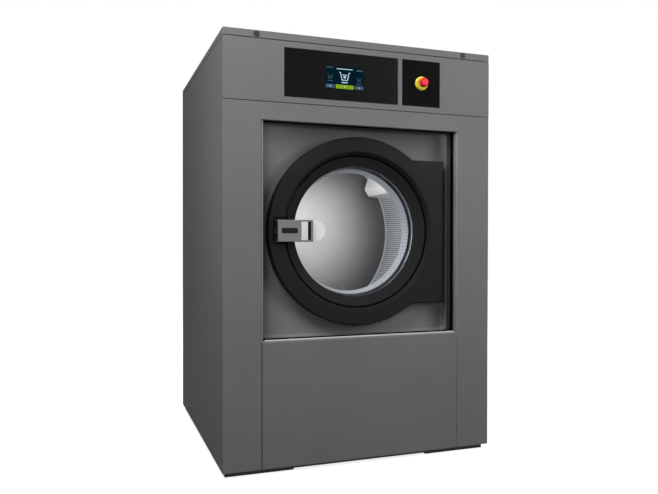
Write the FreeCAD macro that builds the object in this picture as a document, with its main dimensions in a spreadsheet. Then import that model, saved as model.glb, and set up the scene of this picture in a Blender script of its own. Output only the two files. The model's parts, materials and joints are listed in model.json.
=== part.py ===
import FreeCAD, Part
import math
import os
import re

import Sketcher

# Industrial front-loading washing machine. Millimetres. The floor is z = 0, the front faces -Y and +X is the
# right-hand side of somebody who stands in front of it. Depths are measured from the front plane backwards.

SIZES = {
    # cabinet
    "cabinet_width": 980,
    "cabinet_depth": 970,
    "cabinet_height": 1425,
    "base_lift": 20,
    "sheet_thick": 2,
    "seam_width": 2.5,
    "lid_edge": 24,
    "header_height": 59,
    "recess_bottom": 438,
    "recess_height": 719,
    "recess_width": 708,
    "pillar_seam": 720,
    "pillar_bend": 16,
    "jamb_depth": 18,
    "panel_seam": 0.8,
    "panel_bend": 8,
    "header_bend": 3,
    "corner_bend": 3,
    "return_depth": 34,
    "post_width": 30,
    # base
    "pad_thick": 5,
    "pad_length": 200,
    "skid_width": 232,
    "skid_inset": 12,
    "skid_setback": 25,
    "skid_height": 60,
    "tube_wall": 4,
    "beam_depth": 80,
    # control panel
    "display_width": 409,
    "estop_width": 147,
    "panel_height": 160,
    "panel_gap": 17,
    "panel_proud": 1,
    "panel_lip": 6,
    "panel_play": 0.5,
    "screen_width": 143,
    "screen_height": 80,
    "screen_depth": 22,
    "cap_spacing": 760,
    "lid_cap_diameter": 18,
    # emergency stop
    "collar_diameter": 48,
    "mushroom_diameter": 32,
    "mushroom_height": 18,
    "mushroom_round": 8,
    "estop_reach": 32,
    "estop_travel": 5,
    "stem_radius": 8,
    "spigot_radius": 5,
    # fits
    "running_fit": 0.05,
    "sliding_fit": 0.35,
    # recess pan, carried by the tub
    "axis_height": 798,
    "pan_front": 38,
    "pan_floor": 92,
    "pan_gap": 3,
    "pan_lap": 3,
    "pan_corner": 18,
    "pan_bend": 10,
    "pan_hole": 262,
    # door
    "ring_radius": 328,
    "ring_front": 45,
    "ring_depth": 40,
    "ring_edge": 5,
    "ring_soft": 4,
    "ring_flat": 277,
    "ring_step": 266,
    "ring_drop": 18,
    "ring_wall": 3,
    "ring_groove": 1.5,
    "window_radius": 229,
    "window_drop": 37,
    "block_reach": 329,
    "block_height": 512,
    "block_lip": 7,
    "block_fillet": 12,
    "frame_drop": 29,
    "frame_thick": 6,
    "frame_radius": 285,
    "neck_wall": 3,
    "glass_thick": 6,
    "glass_seal_wall": 3,
    "bowl_radius": 196,
    "bowl_depth": 44,
    # hinge
    "hinge_reach": 300,
    "hinge_drop": 13,
    "pin_radius": 6,
    "boss_radius": 9.7,
    "boss_height": 49,
    "lug_height": 35,
    "lug_centre": 157,
    "lug_lean": 35,
    # handle
    "handle_length": 123,
    "handle_height": 73,
    "handle_right": 179,
    "handle_reach": 23,
    "handle_wall": 4,
    "handle_flange": 14,
    "grip_width": 31,
    "grip_rim": 10.5,
    "pivot_inset": 8,
    "pivot_drop": 8,
    "pivot_radius": 4,
    "plate_reach": 130,
    "plate_thick": 3,
    "plate_lead": 5,
    "pocket_left": 312,
    "pocket_height": 93,
    "pocket_drop": 20,
    "tongue_width": 7,
    "tongue_height": 18,
    "tongue_reach": 112,
    "handle_swing": 20,
    # drum and tub
    "drum_radius": 375,
    "drum_front": 165,
    "drum_rear": 310,
    "drum_neck": 222,
    "drum_throat": 214,
    "drum_lip": 121,
    "throat_depth": 155,
    "drum_sheet": 2,
    "lifter_width": 120,
    "lifter_tall": 52,
    "lifter_crest": 30,
    "lifter_angle": 33,
    "lifter_inset": 22,
    "lifter_sheet": 3,
    "tub_gap": 25,
    "tub_sheet": 3,
    "tub_front": 128,
    "tub_rear": 265,
    "collar_radius": 230,
    "collar_front": 99,
    "seal_gap": 0.4,
    # drive
    "shaft_radius": 32,
    "hub_radius": 70,
    "arm_width": 44,
    "arm_thick": 26,
    "housing_radius": 85,
    "housing_flange": 170,
    "housing_length": 140,
    "bearing_width": 30,
    "bearing_wall": 26,
    "pulley_radius": 250,
    "pulley_width": 40,
    "pulley_start": 115,
    "motor_pulley_radius": 48,
    "motor_radius": 85,
    "motor_front": 350,
    "motor_rear": 130,
    "motor_shaft": 14,
    "motor_offset": 150,
    "motor_height": 230,
    "belt_thick": 8,
    "belt_gap": 0.35,
    # suspension
    "cradle_width": 390,
    "cradle_beam": 120,
    "cradle_low": 270,
    "cradle_thick": 30,
    "saddle_thick": 12,
    "saddle_inset": 40,
    "saddle_front": 200,
    "saddle_rear": 370,
    "spring_offset": 306,
    "spring_radius": 28,
    "spring_wire": 5,
    "spring_turns": 6,
    "spring_front": 250,
    "spring_rear": 400,
    "damper_offset": 366,
    "damper_radius": 16,
    "rod_radius": 8,
    # services
    "outlet_reach": 32,
    "drain_offset": 150,
    "drain_depth": 530,
    "drain_radius": 37.5,
    "drain_step": 2.5,
    "drain_height": 130,
    "valve_radius": 48,
    "valve_top": 240,
    "sump_low": 330,
    "inlet_spacing": 60,
    "inlet_offset": 200,
    "inlet_height": 1260,
    "inlet_radius": 13,
    "drain_hose_wall": 5,
    "hose_room": 6,
    "hose_radius": 17,
    "hose_wall": 4,
    "hose_bend": 60,
    "fill_depth": 330,
    "gland_offset": 300,
    "gland_height": 1170,
    "gland_radius": 16,
    "heater_radius": 6,
    "box_width": 280,
    "box_depth": 250,
    "box_height": 186,
    "box_gap": 28,
    "box_drop": 20,
}

doc = FreeCAD.newDocument("WashingMachine")
sheet = doc.addObject("Spreadsheet::Sheet", "Sizes")
for row, (alias, value) in enumerate(SIZES.items(), 1):
    sheet.set(f"A{row}", alias)
    sheet.set(f"B{row}", str(value))
    sheet.setAlias(f"B{row}", alias)
doc.recompute()

PARTS = []


# helpers

def formula(text):
    """Writes each size's name in a text as the cell that holds it."""
    def cell(word):
        name = word.group()
        return f"Sizes.{name}" if name in SIZES else name
    return re.sub(r"[A-Za-z_]\w*", cell, str(text))


def number(text):
    """The value of a formula, for choosing edges and for the few freely drawn shapes."""
    value = sheet.evalExpression(formula(text))
    return float(getattr(value, "Value", value))


def at(depth):
    """The y of a depth behind the front plane."""
    return f"(-cabinet_depth / 2 + ({depth}))"


def bind(thing, **values):
    for name, text in values.items():
        thing.setExpression(name, formula(text))


def place(thing, x="0", y="0", z="0"):
    for axis, text in zip("xyz", (x, y, z)):
        thing.setExpression(f"Placement.Base.{axis}", formula(text))


def box(name, x, depth, z):
    """A block between two x, two depths and two heights."""
    made = doc.addObject("Part::Box", name)
    bind(made, Length=f"({x[1]}) - ({x[0]})", Width=f"({depth[1]}) - ({depth[0]})",
         Height=f"({z[1]}) - ({z[0]})")
    place(made, x[0], at(depth[0]), z[0])
    return made


def bar(name, radius, depth, x="0", z="axis_height"):
    """A round bar that runs from front to back."""
    made = doc.addObject("Part::Cylinder", name)
    made.Placement.Rotation = FreeCAD.Rotation(FreeCAD.Vector(1, 0, 0), -90)
    bind(made, Radius=radius, Height=f"({depth[1]}) - ({depth[0]})")
    place(made, x, at(depth[0]), z)
    return made


def post(name, radius, z, x, depth):
    """A round bar that stands upright."""
    made = doc.addObject("Part::Cylinder", name)
    bind(made, Radius=radius, Height=f"({z[1]}) - ({z[0]})")
    place(made, x, at(depth), z[0])
    return made


def fuse(name, *pieces):
    made = doc.addObject("Part::MultiFuse", name)
    made.Shapes = list(pieces)
    made.Refine = True
    return made


def cut(name, base, *tools):
    tool = tools[0] if len(tools) == 1 else fuse(f"{name}_tools", *tools)
    made = doc.addObject("Part::Cut", name)
    made.Base = base
    made.Tool = tool
    made.Refine = True
    return made


def group(name, *pieces):
    made = doc.addObject("Part::Compound", name)
    made.Links = list(pieces)
    return made


def flat(low, high, value):
    return abs(low - value) < 1e-3 and abs(high - value) < 1e-3


def edges_at(shape, x=None, depth=None, z=None):
    """Numbers of the edges that lie at the given coordinates all along."""
    found = []
    for index, edge in enumerate(shape.Edges, 1):
        span = edge.BoundBox
        wanted = []
        if x is not None:
            wanted.append(flat(span.XMin, span.XMax, number(x)))
        if depth is not None:
            wanted.append(flat(span.YMin, span.YMax, number(at(depth))))
        if z is not None:
            wanted.append(flat(span.ZMin, span.ZMax, number(z)))
        if all(wanted):
            found.append(index)
    return found


def rounded(name, base, *rules):
    """Rounds edges of a piece; each rule is a radius and what picks its edges: coordinates or a test."""
    doc.recompute()
    made = doc.addObject("Part::Fillet", name)
    made.Base = base
    chosen = {}
    for radius, where in rules:
        if callable(where):
            picked = [index for index, edge in enumerate(base.Shape.Edges, 1) if where(edge)]
        else:
            picked = edges_at(base.Shape, **where)
        for index in picked:
            chosen[index] = number(radius)
    made.Edges = [(index, radius, radius) for index, radius in chosen.items()]
    return made


def draw(sketch, points):
    """Draws a closed outline whose corners are each tied to the sheet."""
    spots = [(number(across), number(along)) for across, along in points]
    count = len(points)
    for index in range(count):
        start = FreeCAD.Vector(*spots[index], 0)
        end = FreeCAD.Vector(*spots[(index + 1) % count], 0)
        sketch.addGeometry(Part.LineSegment(start, end), False)
    for index in range(count):
        sketch.addConstraint(Sketcher.Constraint("Coincident", index, 2, (index + 1) % count, 1))
    for index, corner in enumerate(points):
        for kind, axis, text, value in zip(("DistanceX", "DistanceY"), (-2, -1), corner, spots[index]):
            if abs(value) < 1e-9:
                sketch.addConstraint(Sketcher.Constraint("PointOnObject", index, 1, axis))
            else:
                tie = sketch.addConstraint(Sketcher.Constraint(kind, -1, 1, index, 1, value))
                sketch.setExpression(f"Constraints[{tie}]", formula(text))


def sketched(name, role, points):
    body = doc.addObject("PartDesign::Body", name)
    plane = [item for item in body.Origin.OriginFeatures if item.Role == role][0]
    sketch = body.newObject("Sketcher::SketchObject", f"{name}_outline")
    sketch.AttachmentSupport = (plane, [""])
    sketch.MapMode = "FlatFace"
    draw(sketch, points)
    doc.recompute()
    return body, sketch


def turned(name, points, x="0", z="axis_height"):
    """A body turned about a front-to-back axis; corners are a radius and a depth."""
    body, sketch = sketched(name, "XY_Plane", [(radius, at(depth)) for radius, depth in points])
    feature = body.newObject("PartDesign::Revolution", f"{name}_turn")
    feature.Profile = sketch
    feature.ReferenceAxis = (sketch, ["V_Axis"])
    feature.Angle = 360
    place(body, x, "0", z)
    doc.recompute()
    return body


def prism(name, points, depth, z="0"):
    """A body padded from front to back; corners are an x and a height."""
    body, sketch = sketched(name, "XZ_Plane", points)
    feature = body.newObject("PartDesign::Pad", f"{name}_pad")
    feature.Profile = sketch
    bind(feature, Length=f"({depth[1]}) - ({depth[0]})")
    place(body, "0", at(depth[1]), z)
    doc.recompute()
    return body


def upright(name, points, z):
    """A body padded upwards; corners are an x and a depth."""
    body, sketch = sketched(name, "XY_Plane", [(x, at(depth)) for x, depth in points])
    feature = body.newObject("PartDesign::Pad", f"{name}_pad")
    feature.Profile = sketch
    bind(feature, Length=f"({z[1]}) - ({z[0]})")
    place(body, "0", "0", z[0])
    doc.recompute()
    return body


def soften(body, radius, test):
    """Adds a fillet to a body on the edges that a test picks."""
    doc.recompute()
    before = body.Tip
    names = [f"Edge{index}" for index, edge in enumerate(before.Shape.Edges, 1) if test(edge)]
    feature = body.newObject("PartDesign::Fillet", f"{body.Name}_soft")
    feature.Base = (before, names)
    bind(feature, Radius=radius)
    doc.recompute()
    return feature


def keep(label, thing):
    """Marks an object as one of the machine's pieces."""
    thing.Label = label
    PARTS.append(thing)


def drawn(name, shape):
    made = doc.addObject("Part::Feature", name)
    made.Shape = shape
    return made


SIDES = (("left", "-1"), ("right", "1"))
LEFT = "(-cabinet_width / 2)"
RIGHT = "(cabinet_width / 2)"
TOP = "(base_lift + cabinet_height)"
LID_LOW = f"({TOP} - lid_edge)"
RECESS_TOP = "(recess_bottom + recess_height)"
HEADER_TOP = f"({RECESS_TOP} + header_height)"
FASCIA_LOW = f"({HEADER_TOP} + seam_width)"
FASCIA_HIGH = f"({LID_LOW} - seam_width)"
FASCIA_MID = f"(({FASCIA_LOW} + {FASCIA_HIGH}) / 2)"
PANEL_EDGE = "(pillar_seam / 2 - panel_seam)"
BASE_TOP = "(pad_thick + skid_height)"
SKID_OUT = "(cabinet_width / 2 - skid_inset)"
SKID_IN = f"({SKID_OUT} - skid_width)"
SKID_END = "(cabinet_depth - skid_setback)"
BACK = "cabinet_depth"
BACK_IN = "(cabinet_depth - sheet_thick)"
# these depths are set from the rear plane forwards
DRUM_REAR = "(cabinet_depth - drum_rear)"
TUB_REAR = "(cabinet_depth - tub_rear)"
PULLEY_START = "(cabinet_depth - pulley_start)"
MOTOR_FRONT = "(cabinet_depth - motor_front)"
MOTOR_REAR = "(cabinet_depth - motor_rear)"
SADDLE_REAR = "(cabinet_depth - saddle_rear)"
SPRING_REAR = "(cabinet_depth - spring_rear)"
FILL_DEPTH = "(cabinet_depth - fill_depth)"


# base: two skids of square tube on rubber pads, and three cross beams between them

skids = []
pads = []
for side, sign in SIDES:
    low, high = (f"-{SKID_OUT}", f"-{SKID_IN}") if side == "left" else (SKID_IN, SKID_OUT)
    outside = box(f"skid_{side}", (low, high), ("skid_setback", SKID_END), ("pad_thick", BASE_TOP))
    bore = box(f"skid_bore_{side}", (f"{low} + tube_wall", f"{high} - tube_wall"),
               ("skid_setback + tube_wall", f"{SKID_END} - tube_wall"),
               ("pad_thick + tube_wall", f"{BASE_TOP} - tube_wall"))
    skids.append(cut(f"skid_tube_{side}", outside, bore))
    for end, span in (("front", ("skid_setback", "skid_setback + pad_length")),
                      ("rear", (f"{SKID_END} - pad_length", SKID_END))):
        pads.append(box(f"pad_{end}_{side}", (low, high), span, ("0", "pad_thick")))
keep("base_skids", group("base_skids", *skids))
keep("floor_pads", group("floor_pads", *pads))

beams = []
for place_name, middle in (("front", "skid_setback + beam_depth / 2"), ("middle", "drain_depth"),
                           ("rear", f"{SKID_END} - beam_depth / 2")):
    span = (f"{middle} - beam_depth / 2", f"{middle} + beam_depth / 2")
    outside = box(f"beam_{place_name}", (f"-{SKID_IN}", SKID_IN), span, ("pad_thick", BASE_TOP))
    inner = (f"{span[0]} + tube_wall", f"{span[1]} - tube_wall")
    bore = box(f"beam_bore_{place_name}", (f"-{SKID_IN} - 1", f"{SKID_IN} + 1"), inner,
               ("pad_thick + tube_wall", f"{BASE_TOP} - tube_wall"))
    beams.append(cut(f"beam_tube_{place_name}", outside, bore))
keep("base_cross_beams", group("base_cross_beams", *beams))

posts = []
for side, sign in SIDES:
    inner = "(cabinet_width / 2 - sheet_thick)"
    low, high = (f"-{inner}", f"-{inner} + post_width") if side == "left" else (f"{inner} - post_width",
                                                                                inner)
    for end, depth in (("front", ("sheet_thick", "sheet_thick + post_width")),
                       ("rear", (f"{BACK_IN} - post_width", BACK_IN))):
        posts.append(box(f"post_{end}_{side}", (low, high), depth, (BASE_TOP, f"{TOP} - sheet_thick")))
keep("corner_posts", group("corner_posts", *posts))


# sheet-metal skin

def side_panel(side, sign):
    outer = f"({sign} * cabinet_width / 2)"
    near = f"({sign} * pillar_seam / 2)"
    mouth = f"({sign} * recess_width / 2)"
    ordered = (lambda a, b: (a, b)) if side == "left" else (lambda a, b: (b, a))
    wall = box(f"wall_{side}", ordered(outer, f"{outer} - {sign} * sheet_thick"), ("sheet_thick", BACK),
               ("base_lift", FASCIA_HIGH))
    front = box(f"flange_{side}", ordered(outer, near), ("0", "sheet_thick"), ("base_lift", HEADER_TOP))
    tongue = box(f"jamb_{side}", ordered(near, mouth), ("0", "sheet_thick"), ("recess_bottom", RECESS_TOP))
    turn = box(f"return_{side}", ordered(f"{mouth} + {sign} * sheet_thick", mouth), ("0", "jamb_depth"),
               ("recess_bottom", RECESS_TOP))
    sheet_body = fuse(f"panel_{side}", wall, front, tongue, turn)
    return rounded(f"panel_round_{side}", sheet_body,
                   ("pillar_bend - sheet_thick",
                    dict(x=f"{mouth} + {sign} * sheet_thick", depth="sheet_thick")),
                   ("pillar_bend", dict(x=mouth, depth="0")),
                   ("corner_bend", dict(x=outer, depth="0")))


for side, sign in SIDES:
    keep(f"{side}_side_panel", side_panel(side, sign))

header_sheet = fuse("header_sheet",
                    box("header_face", (f"-{PANEL_EDGE}", PANEL_EDGE), ("0", "sheet_thick"),
                        (RECESS_TOP, HEADER_TOP)),
                    box("header_return", (f"-{PANEL_EDGE}", PANEL_EDGE), ("0", "return_depth"),
                        (RECESS_TOP, f"{RECESS_TOP} + sheet_thick")))
keep("header_panel", rounded("header_round", header_sheet,
                             ("header_bend - sheet_thick",
                              dict(depth="sheet_thick", z=f"{RECESS_TOP} + sheet_thick")),
                             ("header_bend", dict(depth="0", z=RECESS_TOP))))

lower_sheet = fuse("lower_sheet",
                   box("lower_face", (f"-{PANEL_EDGE}", PANEL_EDGE), ("0", "sheet_thick"),
                       ("base_lift", "recess_bottom")),
                   box("lower_return", (f"-{PANEL_EDGE}", PANEL_EDGE), ("0", "return_depth"),
                       ("recess_bottom - sheet_thick", "recess_bottom")),
                   box("lower_foot", (f"-{PANEL_EDGE}", PANEL_EDGE), ("0", "skid_setback"),
                       ("base_lift", "base_lift + sheet_thick")))
keep("lower_front_panel", rounded("lower_round", lower_sheet,
                                  ("panel_bend - sheet_thick",
                                   dict(depth="sheet_thick", z="recess_bottom - sheet_thick")),
                                  ("panel_bend", dict(depth="0", z="recess_bottom"))))

lid_shell = cut("lid_shell",
                box("lid_block", (LEFT, RIGHT), ("0", BACK), (LID_LOW, TOP)),
                box("lid_hollow", (f"{LEFT} + sheet_thick", f"{RIGHT} - sheet_thick"),
                    ("sheet_thick", BACK_IN),
                    (f"{LID_LOW} - 1", f"{TOP} - sheet_thick")))
keep("top_cover", rounded("lid_round", lid_shell,
                          ("corner_bend", dict(x=LEFT, z=TOP)),
                          ("corner_bend", dict(x=RIGHT, z=TOP)),
                          ("corner_bend", dict(depth="0", z=TOP)),
                          ("corner_bend", dict(depth=BACK, z=TOP)),
                          ("corner_bend", dict(x=LEFT, depth="0")),
                          ("corner_bend", dict(x=RIGHT, depth="0"))))
keep("top_cover_caps", group("lid_caps", *[
    bar(f"lid_cap_{side}", "lid_cap_diameter / 2", ("-2.5", "0"), f"{sign} * cap_spacing / 2",
        f"{LID_LOW} + lid_edge / 2")
    for side, sign in SIDES]))


# control fascia with its two black glass panels

PANEL_LEFT = "(-(display_width + panel_gap + estop_width) / 2)"
DISPLAY = (PANEL_LEFT, f"({PANEL_LEFT} + display_width)")
ESTOP = (f"({PANEL_LEFT} + display_width + panel_gap)", f"(-{PANEL_LEFT})")
PANEL_Z = (f"({FASCIA_MID} - panel_height / 2)", f"({FASCIA_MID} + panel_height / 2)")
DISPLAY_MID = f"(({DISPLAY[0]} + {DISPLAY[1]}) / 2)"
ESTOP_MID = f"(({ESTOP[0]} + {ESTOP[1]}) / 2)"


def grown(span, by):
    return f"{span[0]} - {by}", f"{span[1]} + {by}"


fascia_sheet = fuse("fascia_sheet",
                    box("fascia_face", (LEFT, RIGHT), ("0", "sheet_thick"), (FASCIA_LOW, FASCIA_HIGH)),
                    box("fascia_foot", (f"-{PANEL_EDGE}", PANEL_EDGE), ("0", "return_depth / 2"),
                        (FASCIA_LOW, f"{FASCIA_LOW} + sheet_thick")),
                    box("fascia_head", (f"-{PANEL_EDGE}", PANEL_EDGE), ("0", "return_depth / 2"),
                        (f"{FASCIA_HIGH} - sheet_thick", FASCIA_HIGH)))
fascia_holed = cut("fascia_holed", fascia_sheet,
                   box("display_hole", grown(DISPLAY, "panel_play"), ("-1", "sheet_thick + 1"),
                       grown(PANEL_Z, "panel_play")),
                   box("estop_hole", grown(ESTOP, "panel_play"), ("-1", "sheet_thick + 1"),
                       grown(PANEL_Z, "panel_play")))
keep("control_fascia", rounded("fascia_round", fascia_holed,
                               ("corner_bend - 1.5", dict(x=LEFT, depth="0")),
                               ("corner_bend - 1.5", dict(x=RIGHT, depth="0"))))

keep("display_glass", fuse("display_panel",
                           box("display_lens", DISPLAY, ("-panel_proud", "sheet_thick"), PANEL_Z),
                           box("display_carrier", grown(DISPLAY, "panel_lip"),
                               ("sheet_thick", "sheet_thick + 3"),
                               grown(PANEL_Z, "panel_lip"))))
screen_x = (f"{DISPLAY_MID} - screen_width / 2 - 6", f"{DISPLAY_MID} + screen_width / 2 + 6")
screen_z = (f"{FASCIA_MID} - screen_height / 2 - 6", f"{FASCIA_MID} + screen_height / 2 + 6")
keep("touchscreen",
     box("screen_module", screen_x, ("sheet_thick + 3", "sheet_thick + 3 + screen_depth"), screen_z))

BARREL = "(stem_radius + sliding_fit + 3)"
CAP_REAR = "(mushroom_height - estop_reach)"
COLLAR_FRONT = f"({CAP_REAR} + estop_travel + 0.5)"
BLOCK_FRONT = "(sheet_thick + 20)"
estop_panel = fuse("estop_panel",
                   box("estop_lens", ESTOP, ("-panel_proud", "sheet_thick"), PANEL_Z),
                   box("estop_carrier", (f"{ESTOP[0]} - panel_lip", f"{ESTOP[1]} + panel_lip"),
                       ("sheet_thick", "sheet_thick + 3"), grown(PANEL_Z, "panel_lip")))
keep("estop_glass", cut("estop_panel_holed", estop_panel,
                        bar("estop_panel_bore", BARREL, ("-panel_proud - 1", "sheet_thick + 4"), ESTOP_MID,
                            FASCIA_MID)))

collar = turned("estop_ring", [
    ("stem_radius + sliding_fit", COLLAR_FRONT), ("collar_diameter / 2 - 4", COLLAR_FRONT),
    ("collar_diameter / 2", f"{COLLAR_FRONT} + 4"), ("collar_diameter / 2", "-panel_proud"),
    (BARREL, "-panel_proud"), (BARREL, BLOCK_FRONT), ("stem_radius + sliding_fit", BLOCK_FRONT)], ESTOP_MID,
    FASCIA_MID)
keep("estop_collar", collar)
keep("estop_contact_block", cut("estop_switch",
                                box("estop_switch_box", (f"{ESTOP_MID} - 20", f"{ESTOP_MID} + 20"),
                                    (BLOCK_FRONT, f"{BLOCK_FRONT} + 52"),
                                    (f"{FASCIA_MID} - 22", f"{FASCIA_MID} + 22")),
                                bar("estop_switch_bore", "stem_radius + sliding_fit",
                                    (f"{BLOCK_FRONT} - 1", f"{BLOCK_FRONT} + 20 + 2 * estop_travel"),
                                    ESTOP_MID, FASCIA_MID)))
STEM_FRONT = f"({CAP_REAR} + 0.3)"
keep("estop_stem", turned("estop_plunger", [
    ("0", f"{CAP_REAR} - mushroom_height / 2"), ("spigot_radius", f"{CAP_REAR} - mushroom_height / 2"),
    ("spigot_radius", STEM_FRONT), ("stem_radius", STEM_FRONT), ("stem_radius", f"{BLOCK_FRONT} + 20"),
    ("0", f"{BLOCK_FRONT} + 20")], ESTOP_MID, FASCIA_MID))
cap = turned("estop_mushroom", [
    ("0", "-estop_reach"), ("mushroom_diameter / 2", "-estop_reach"),
    ("mushroom_diameter / 2", f"{CAP_REAR} - 4"),
    ("mushroom_diameter / 2 - 4", CAP_REAR), ("spigot_radius + running_fit", CAP_REAR),
    ("spigot_radius + running_fit", f"{CAP_REAR} - mushroom_height / 2 - 0.5"),
    ("0", f"{CAP_REAR} - mushroom_height / 2 - 0.5")], ESTOP_MID, FASCIA_MID)
cap_front = number(at("-estop_reach"))
soften(cap, "mushroom_round", lambda edge: flat(edge.BoundBox.YMin, edge.BoundBox.YMax, cap_front))
keep("estop_cap", cap)


# recess pan: a drawn tray with a round mouth, a latch slot and the room for the hinge screws

PAN_X = "(recess_width / 2 - pan_gap)"
PAN_Z = ("(recess_bottom - pan_lap)", f"({RECESS_TOP} + pan_lap)")
PAN_BACK = "(pan_floor + sheet_thick)"
RING_REAR = "(ring_front + ring_depth)"
PIVOT_X = "(-(handle_right + handle_length - pivot_inset))"
PIVOT = "(ring_front + pivot_drop)"
tray = doc.addObject("PartDesign::Body", "tray")
blank = tray.newObject("PartDesign::AdditiveBox", "tray_blank")
bind(blank, Length=f"2 * {PAN_X}", Width=f"{PAN_BACK} - pan_front", Height=f"{PAN_Z[1]} - {PAN_Z[0]}")
place(blank, f"-{PAN_X}", at("pan_front"), PAN_Z[0])
soften(tray, "pan_corner", lambda edge: edge.BoundBox.YLength > 1 and edge.BoundBox.XLength < 1e-3)
tray_back = tray.Shape.BoundBox.YMax
soften(tray, "pan_bend + sheet_thick", lambda edge: flat(edge.BoundBox.YMin, edge.BoundBox.YMax, tray_back))
tray_front = tray.Shape.BoundBox.YMin
shell = tray.newObject("PartDesign::Thickness", "tray_shell")
shell.Base = (tray.Group[-2], [f"Face{index}" for index, face in enumerate(tray.Group[-2].Shape.Faces, 1)
                               if flat(face.BoundBox.YMin, face.BoundBox.YMax, tray_front)])
bind(shell, Value="sheet_thick")
shell.Reversed = True
tray.Tip = shell
doc.recompute()
TONGUE_LEFT = f"({PIVOT_X} - tongue_width / 2 - 7)"


def tongue_right(depth):
    """How far to the right the tongue comes at a depth when the lever is pulled."""
    return f"({PIVOT_X} + tongue_width / 2 + ({depth} - {PIVOT}) * tan(handle_swing) + 3)"


SLOT = (TONGUE_LEFT, tongue_right(PAN_BACK))
keep("recess_pan", cut("recess_tray", tray,
                       bar("pan_mouth", "pan_hole", ("pan_floor - 5", f"{PAN_BACK} + 5")),
                       box("pan_slot", SLOT, ("pan_floor - 5", f"{PAN_BACK} + 5"),
                           ("axis_height - tongue_height / 2 - 6", "axis_height + tongue_height / 2 + 6"))))


# door

HINGE = "(ring_front + hinge_drop)"
FRAME = "(ring_front + frame_drop)"
WINDOW = "(ring_front + window_drop)"
STEP = "(ring_front + ring_drop)"
HALF_BLOCK = "(block_height / 2)"
BLOCK_X = "(ring_step - 82)"


def door_hole(name, extra):
    """The hole in the middle of the door ring, widened by the wall where the hollow is cut."""
    return turned(name, [("0", "ring_front - 5"), (f"ring_flat + {extra}", "ring_front - 5"),
                         (f"ring_flat + {extra}", f"ring_front + {extra} * 0.1"),
                         (f"ring_step + {extra}", f"{STEP} + {extra} * 0.1"),
                         (f"ring_step + {extra}", f"{RING_REAR} + 5"), ("0", f"{RING_REAR} + 5")])


ring_solid = turned("ring_solid", [
    ("ring_step - 20", "ring_front"), ("ring_radius", "ring_front"), ("ring_radius", RING_REAR),
    ("ring_step - 20", RING_REAR)])
block_z = (f"axis_height - {HALF_BLOCK}", f"axis_height + {HALF_BLOCK}")
block_outline = [(BLOCK_X, "ring_front"), ("block_reach", "ring_front"),
                 ("block_reach", "ring_front + block_lip"),
                 ("block_reach - 24", RING_REAR), (BLOCK_X, RING_REAR)]
block_solid = upright("block_solid", block_outline, block_z)
front_y = number(at("ring_front"))


def in_corner(edge):
    """The two inside corners where the block leaves the ring."""
    span = edge.BoundBox
    level = abs(abs(span.ZMin - number("axis_height")) - number(HALF_BLOCK)) < 1e-3
    straight_back = span.YLength > 1 and span.XLength < 1e-3 and span.ZLength < 1e-3
    return level and straight_back and span.XMin < number("ring_step")


def on_rim(edge):
    """The outline of the front face."""
    span = edge.BoundBox
    middle = edge.valueAt((edge.FirstParameter + edge.LastParameter) / 2)
    reach = math.hypot(middle.x, middle.z - number("axis_height"))
    return flat(span.YMin, span.YMax, front_y) and reach > number("ring_flat")


def on_step(edge):
    """The inner edge of the flat face."""
    round_edge = isinstance(edge.Curve, Part.Circle) and abs(edge.Curve.Radius - number("ring_flat")) < 1e-3
    return round_edge and flat(edge.BoundBox.YMin, edge.BoundBox.YMax, front_y)


ring_joined = rounded("ring_joined", fuse("ring_and_block", ring_solid, block_solid),
                      ("block_fillet", in_corner))
ring_rimmed = rounded("ring_rimmed", ring_joined, ("ring_edge", on_rim))
ring_holed = cut("ring_holed", ring_rimmed, door_hole("ring_hole", "0"))
ring_outside = rounded("ring_outside", ring_holed, ("ring_soft", on_step))

hollow_ring = turned("hollow_ring", [
    ("ring_step + ring_wall", "ring_front + ring_wall"),
    ("ring_radius - ring_edge", "ring_front + ring_wall"),
    ("ring_radius - ring_wall", "ring_front + ring_edge"), ("ring_radius - ring_wall", f"{RING_REAR} + 1"),
    ("ring_step + ring_wall", f"{RING_REAR} + 1")])
hollow_block = upright("hollow_block", [
    (BLOCK_X, "ring_front + ring_wall"), ("block_reach - ring_wall", "ring_front + ring_wall"),
    ("block_reach - ring_wall", "ring_front + block_lip"), ("block_reach + 1", "ring_front + block_lip"),
    ("block_reach + 1", f"{RING_REAR} + 1"), (BLOCK_X, f"{RING_REAR} + 1")],
    (f"{block_z[0]} + ring_wall", f"{block_z[1]} - ring_wall"))
ring_hollow = cut("ring_hollow", fuse("hollow_both", hollow_ring, hollow_block),
                  door_hole("ring_hole_wide", "ring_wall"))
POCKET_Z = ("axis_height - pocket_height / 2", "axis_height + pocket_height / 2")
POCKET_FLOOR = "(ring_front + pocket_drop)"
# the pocket under the handle: a tub let into the ring
pocket_out = box("pocket_out", ("-pocket_left - ring_wall", "-ring_step + 6"),
                 ("ring_front", f"{POCKET_FLOOR} + ring_wall"),
                 (f"{POCKET_Z[0]} - ring_wall", f"{POCKET_Z[1]} + ring_wall"))
pocket_in = box("pocket_in", ("-pocket_left", "-ring_step + 40"), ("ring_front - 2", POCKET_FLOOR),
                POCKET_Z)
tongue_gap = box("tongue_gap", SLOT, ("ring_front", f"{RING_REAR} + 2"),
                 ("axis_height - tongue_height / 2 - 3", "axis_height + tongue_height / 2 + 3"))
ring_shell = cut("ring_shell", ring_outside, ring_hollow)
pocket_trim = cut("pocket_trim", pocket_out, door_hole("ring_hole_pocket", "0"))
frame_room = bar("frame_room", "frame_radius + 2", (FRAME, f"{RING_REAR} + 2"))
ring_raw = cut("ring_raw", fuse("ring_pocketed", ring_shell, pocket_trim), pocket_in, tongue_gap,
               frame_room)
keep("door_ring", ring_raw)

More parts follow.
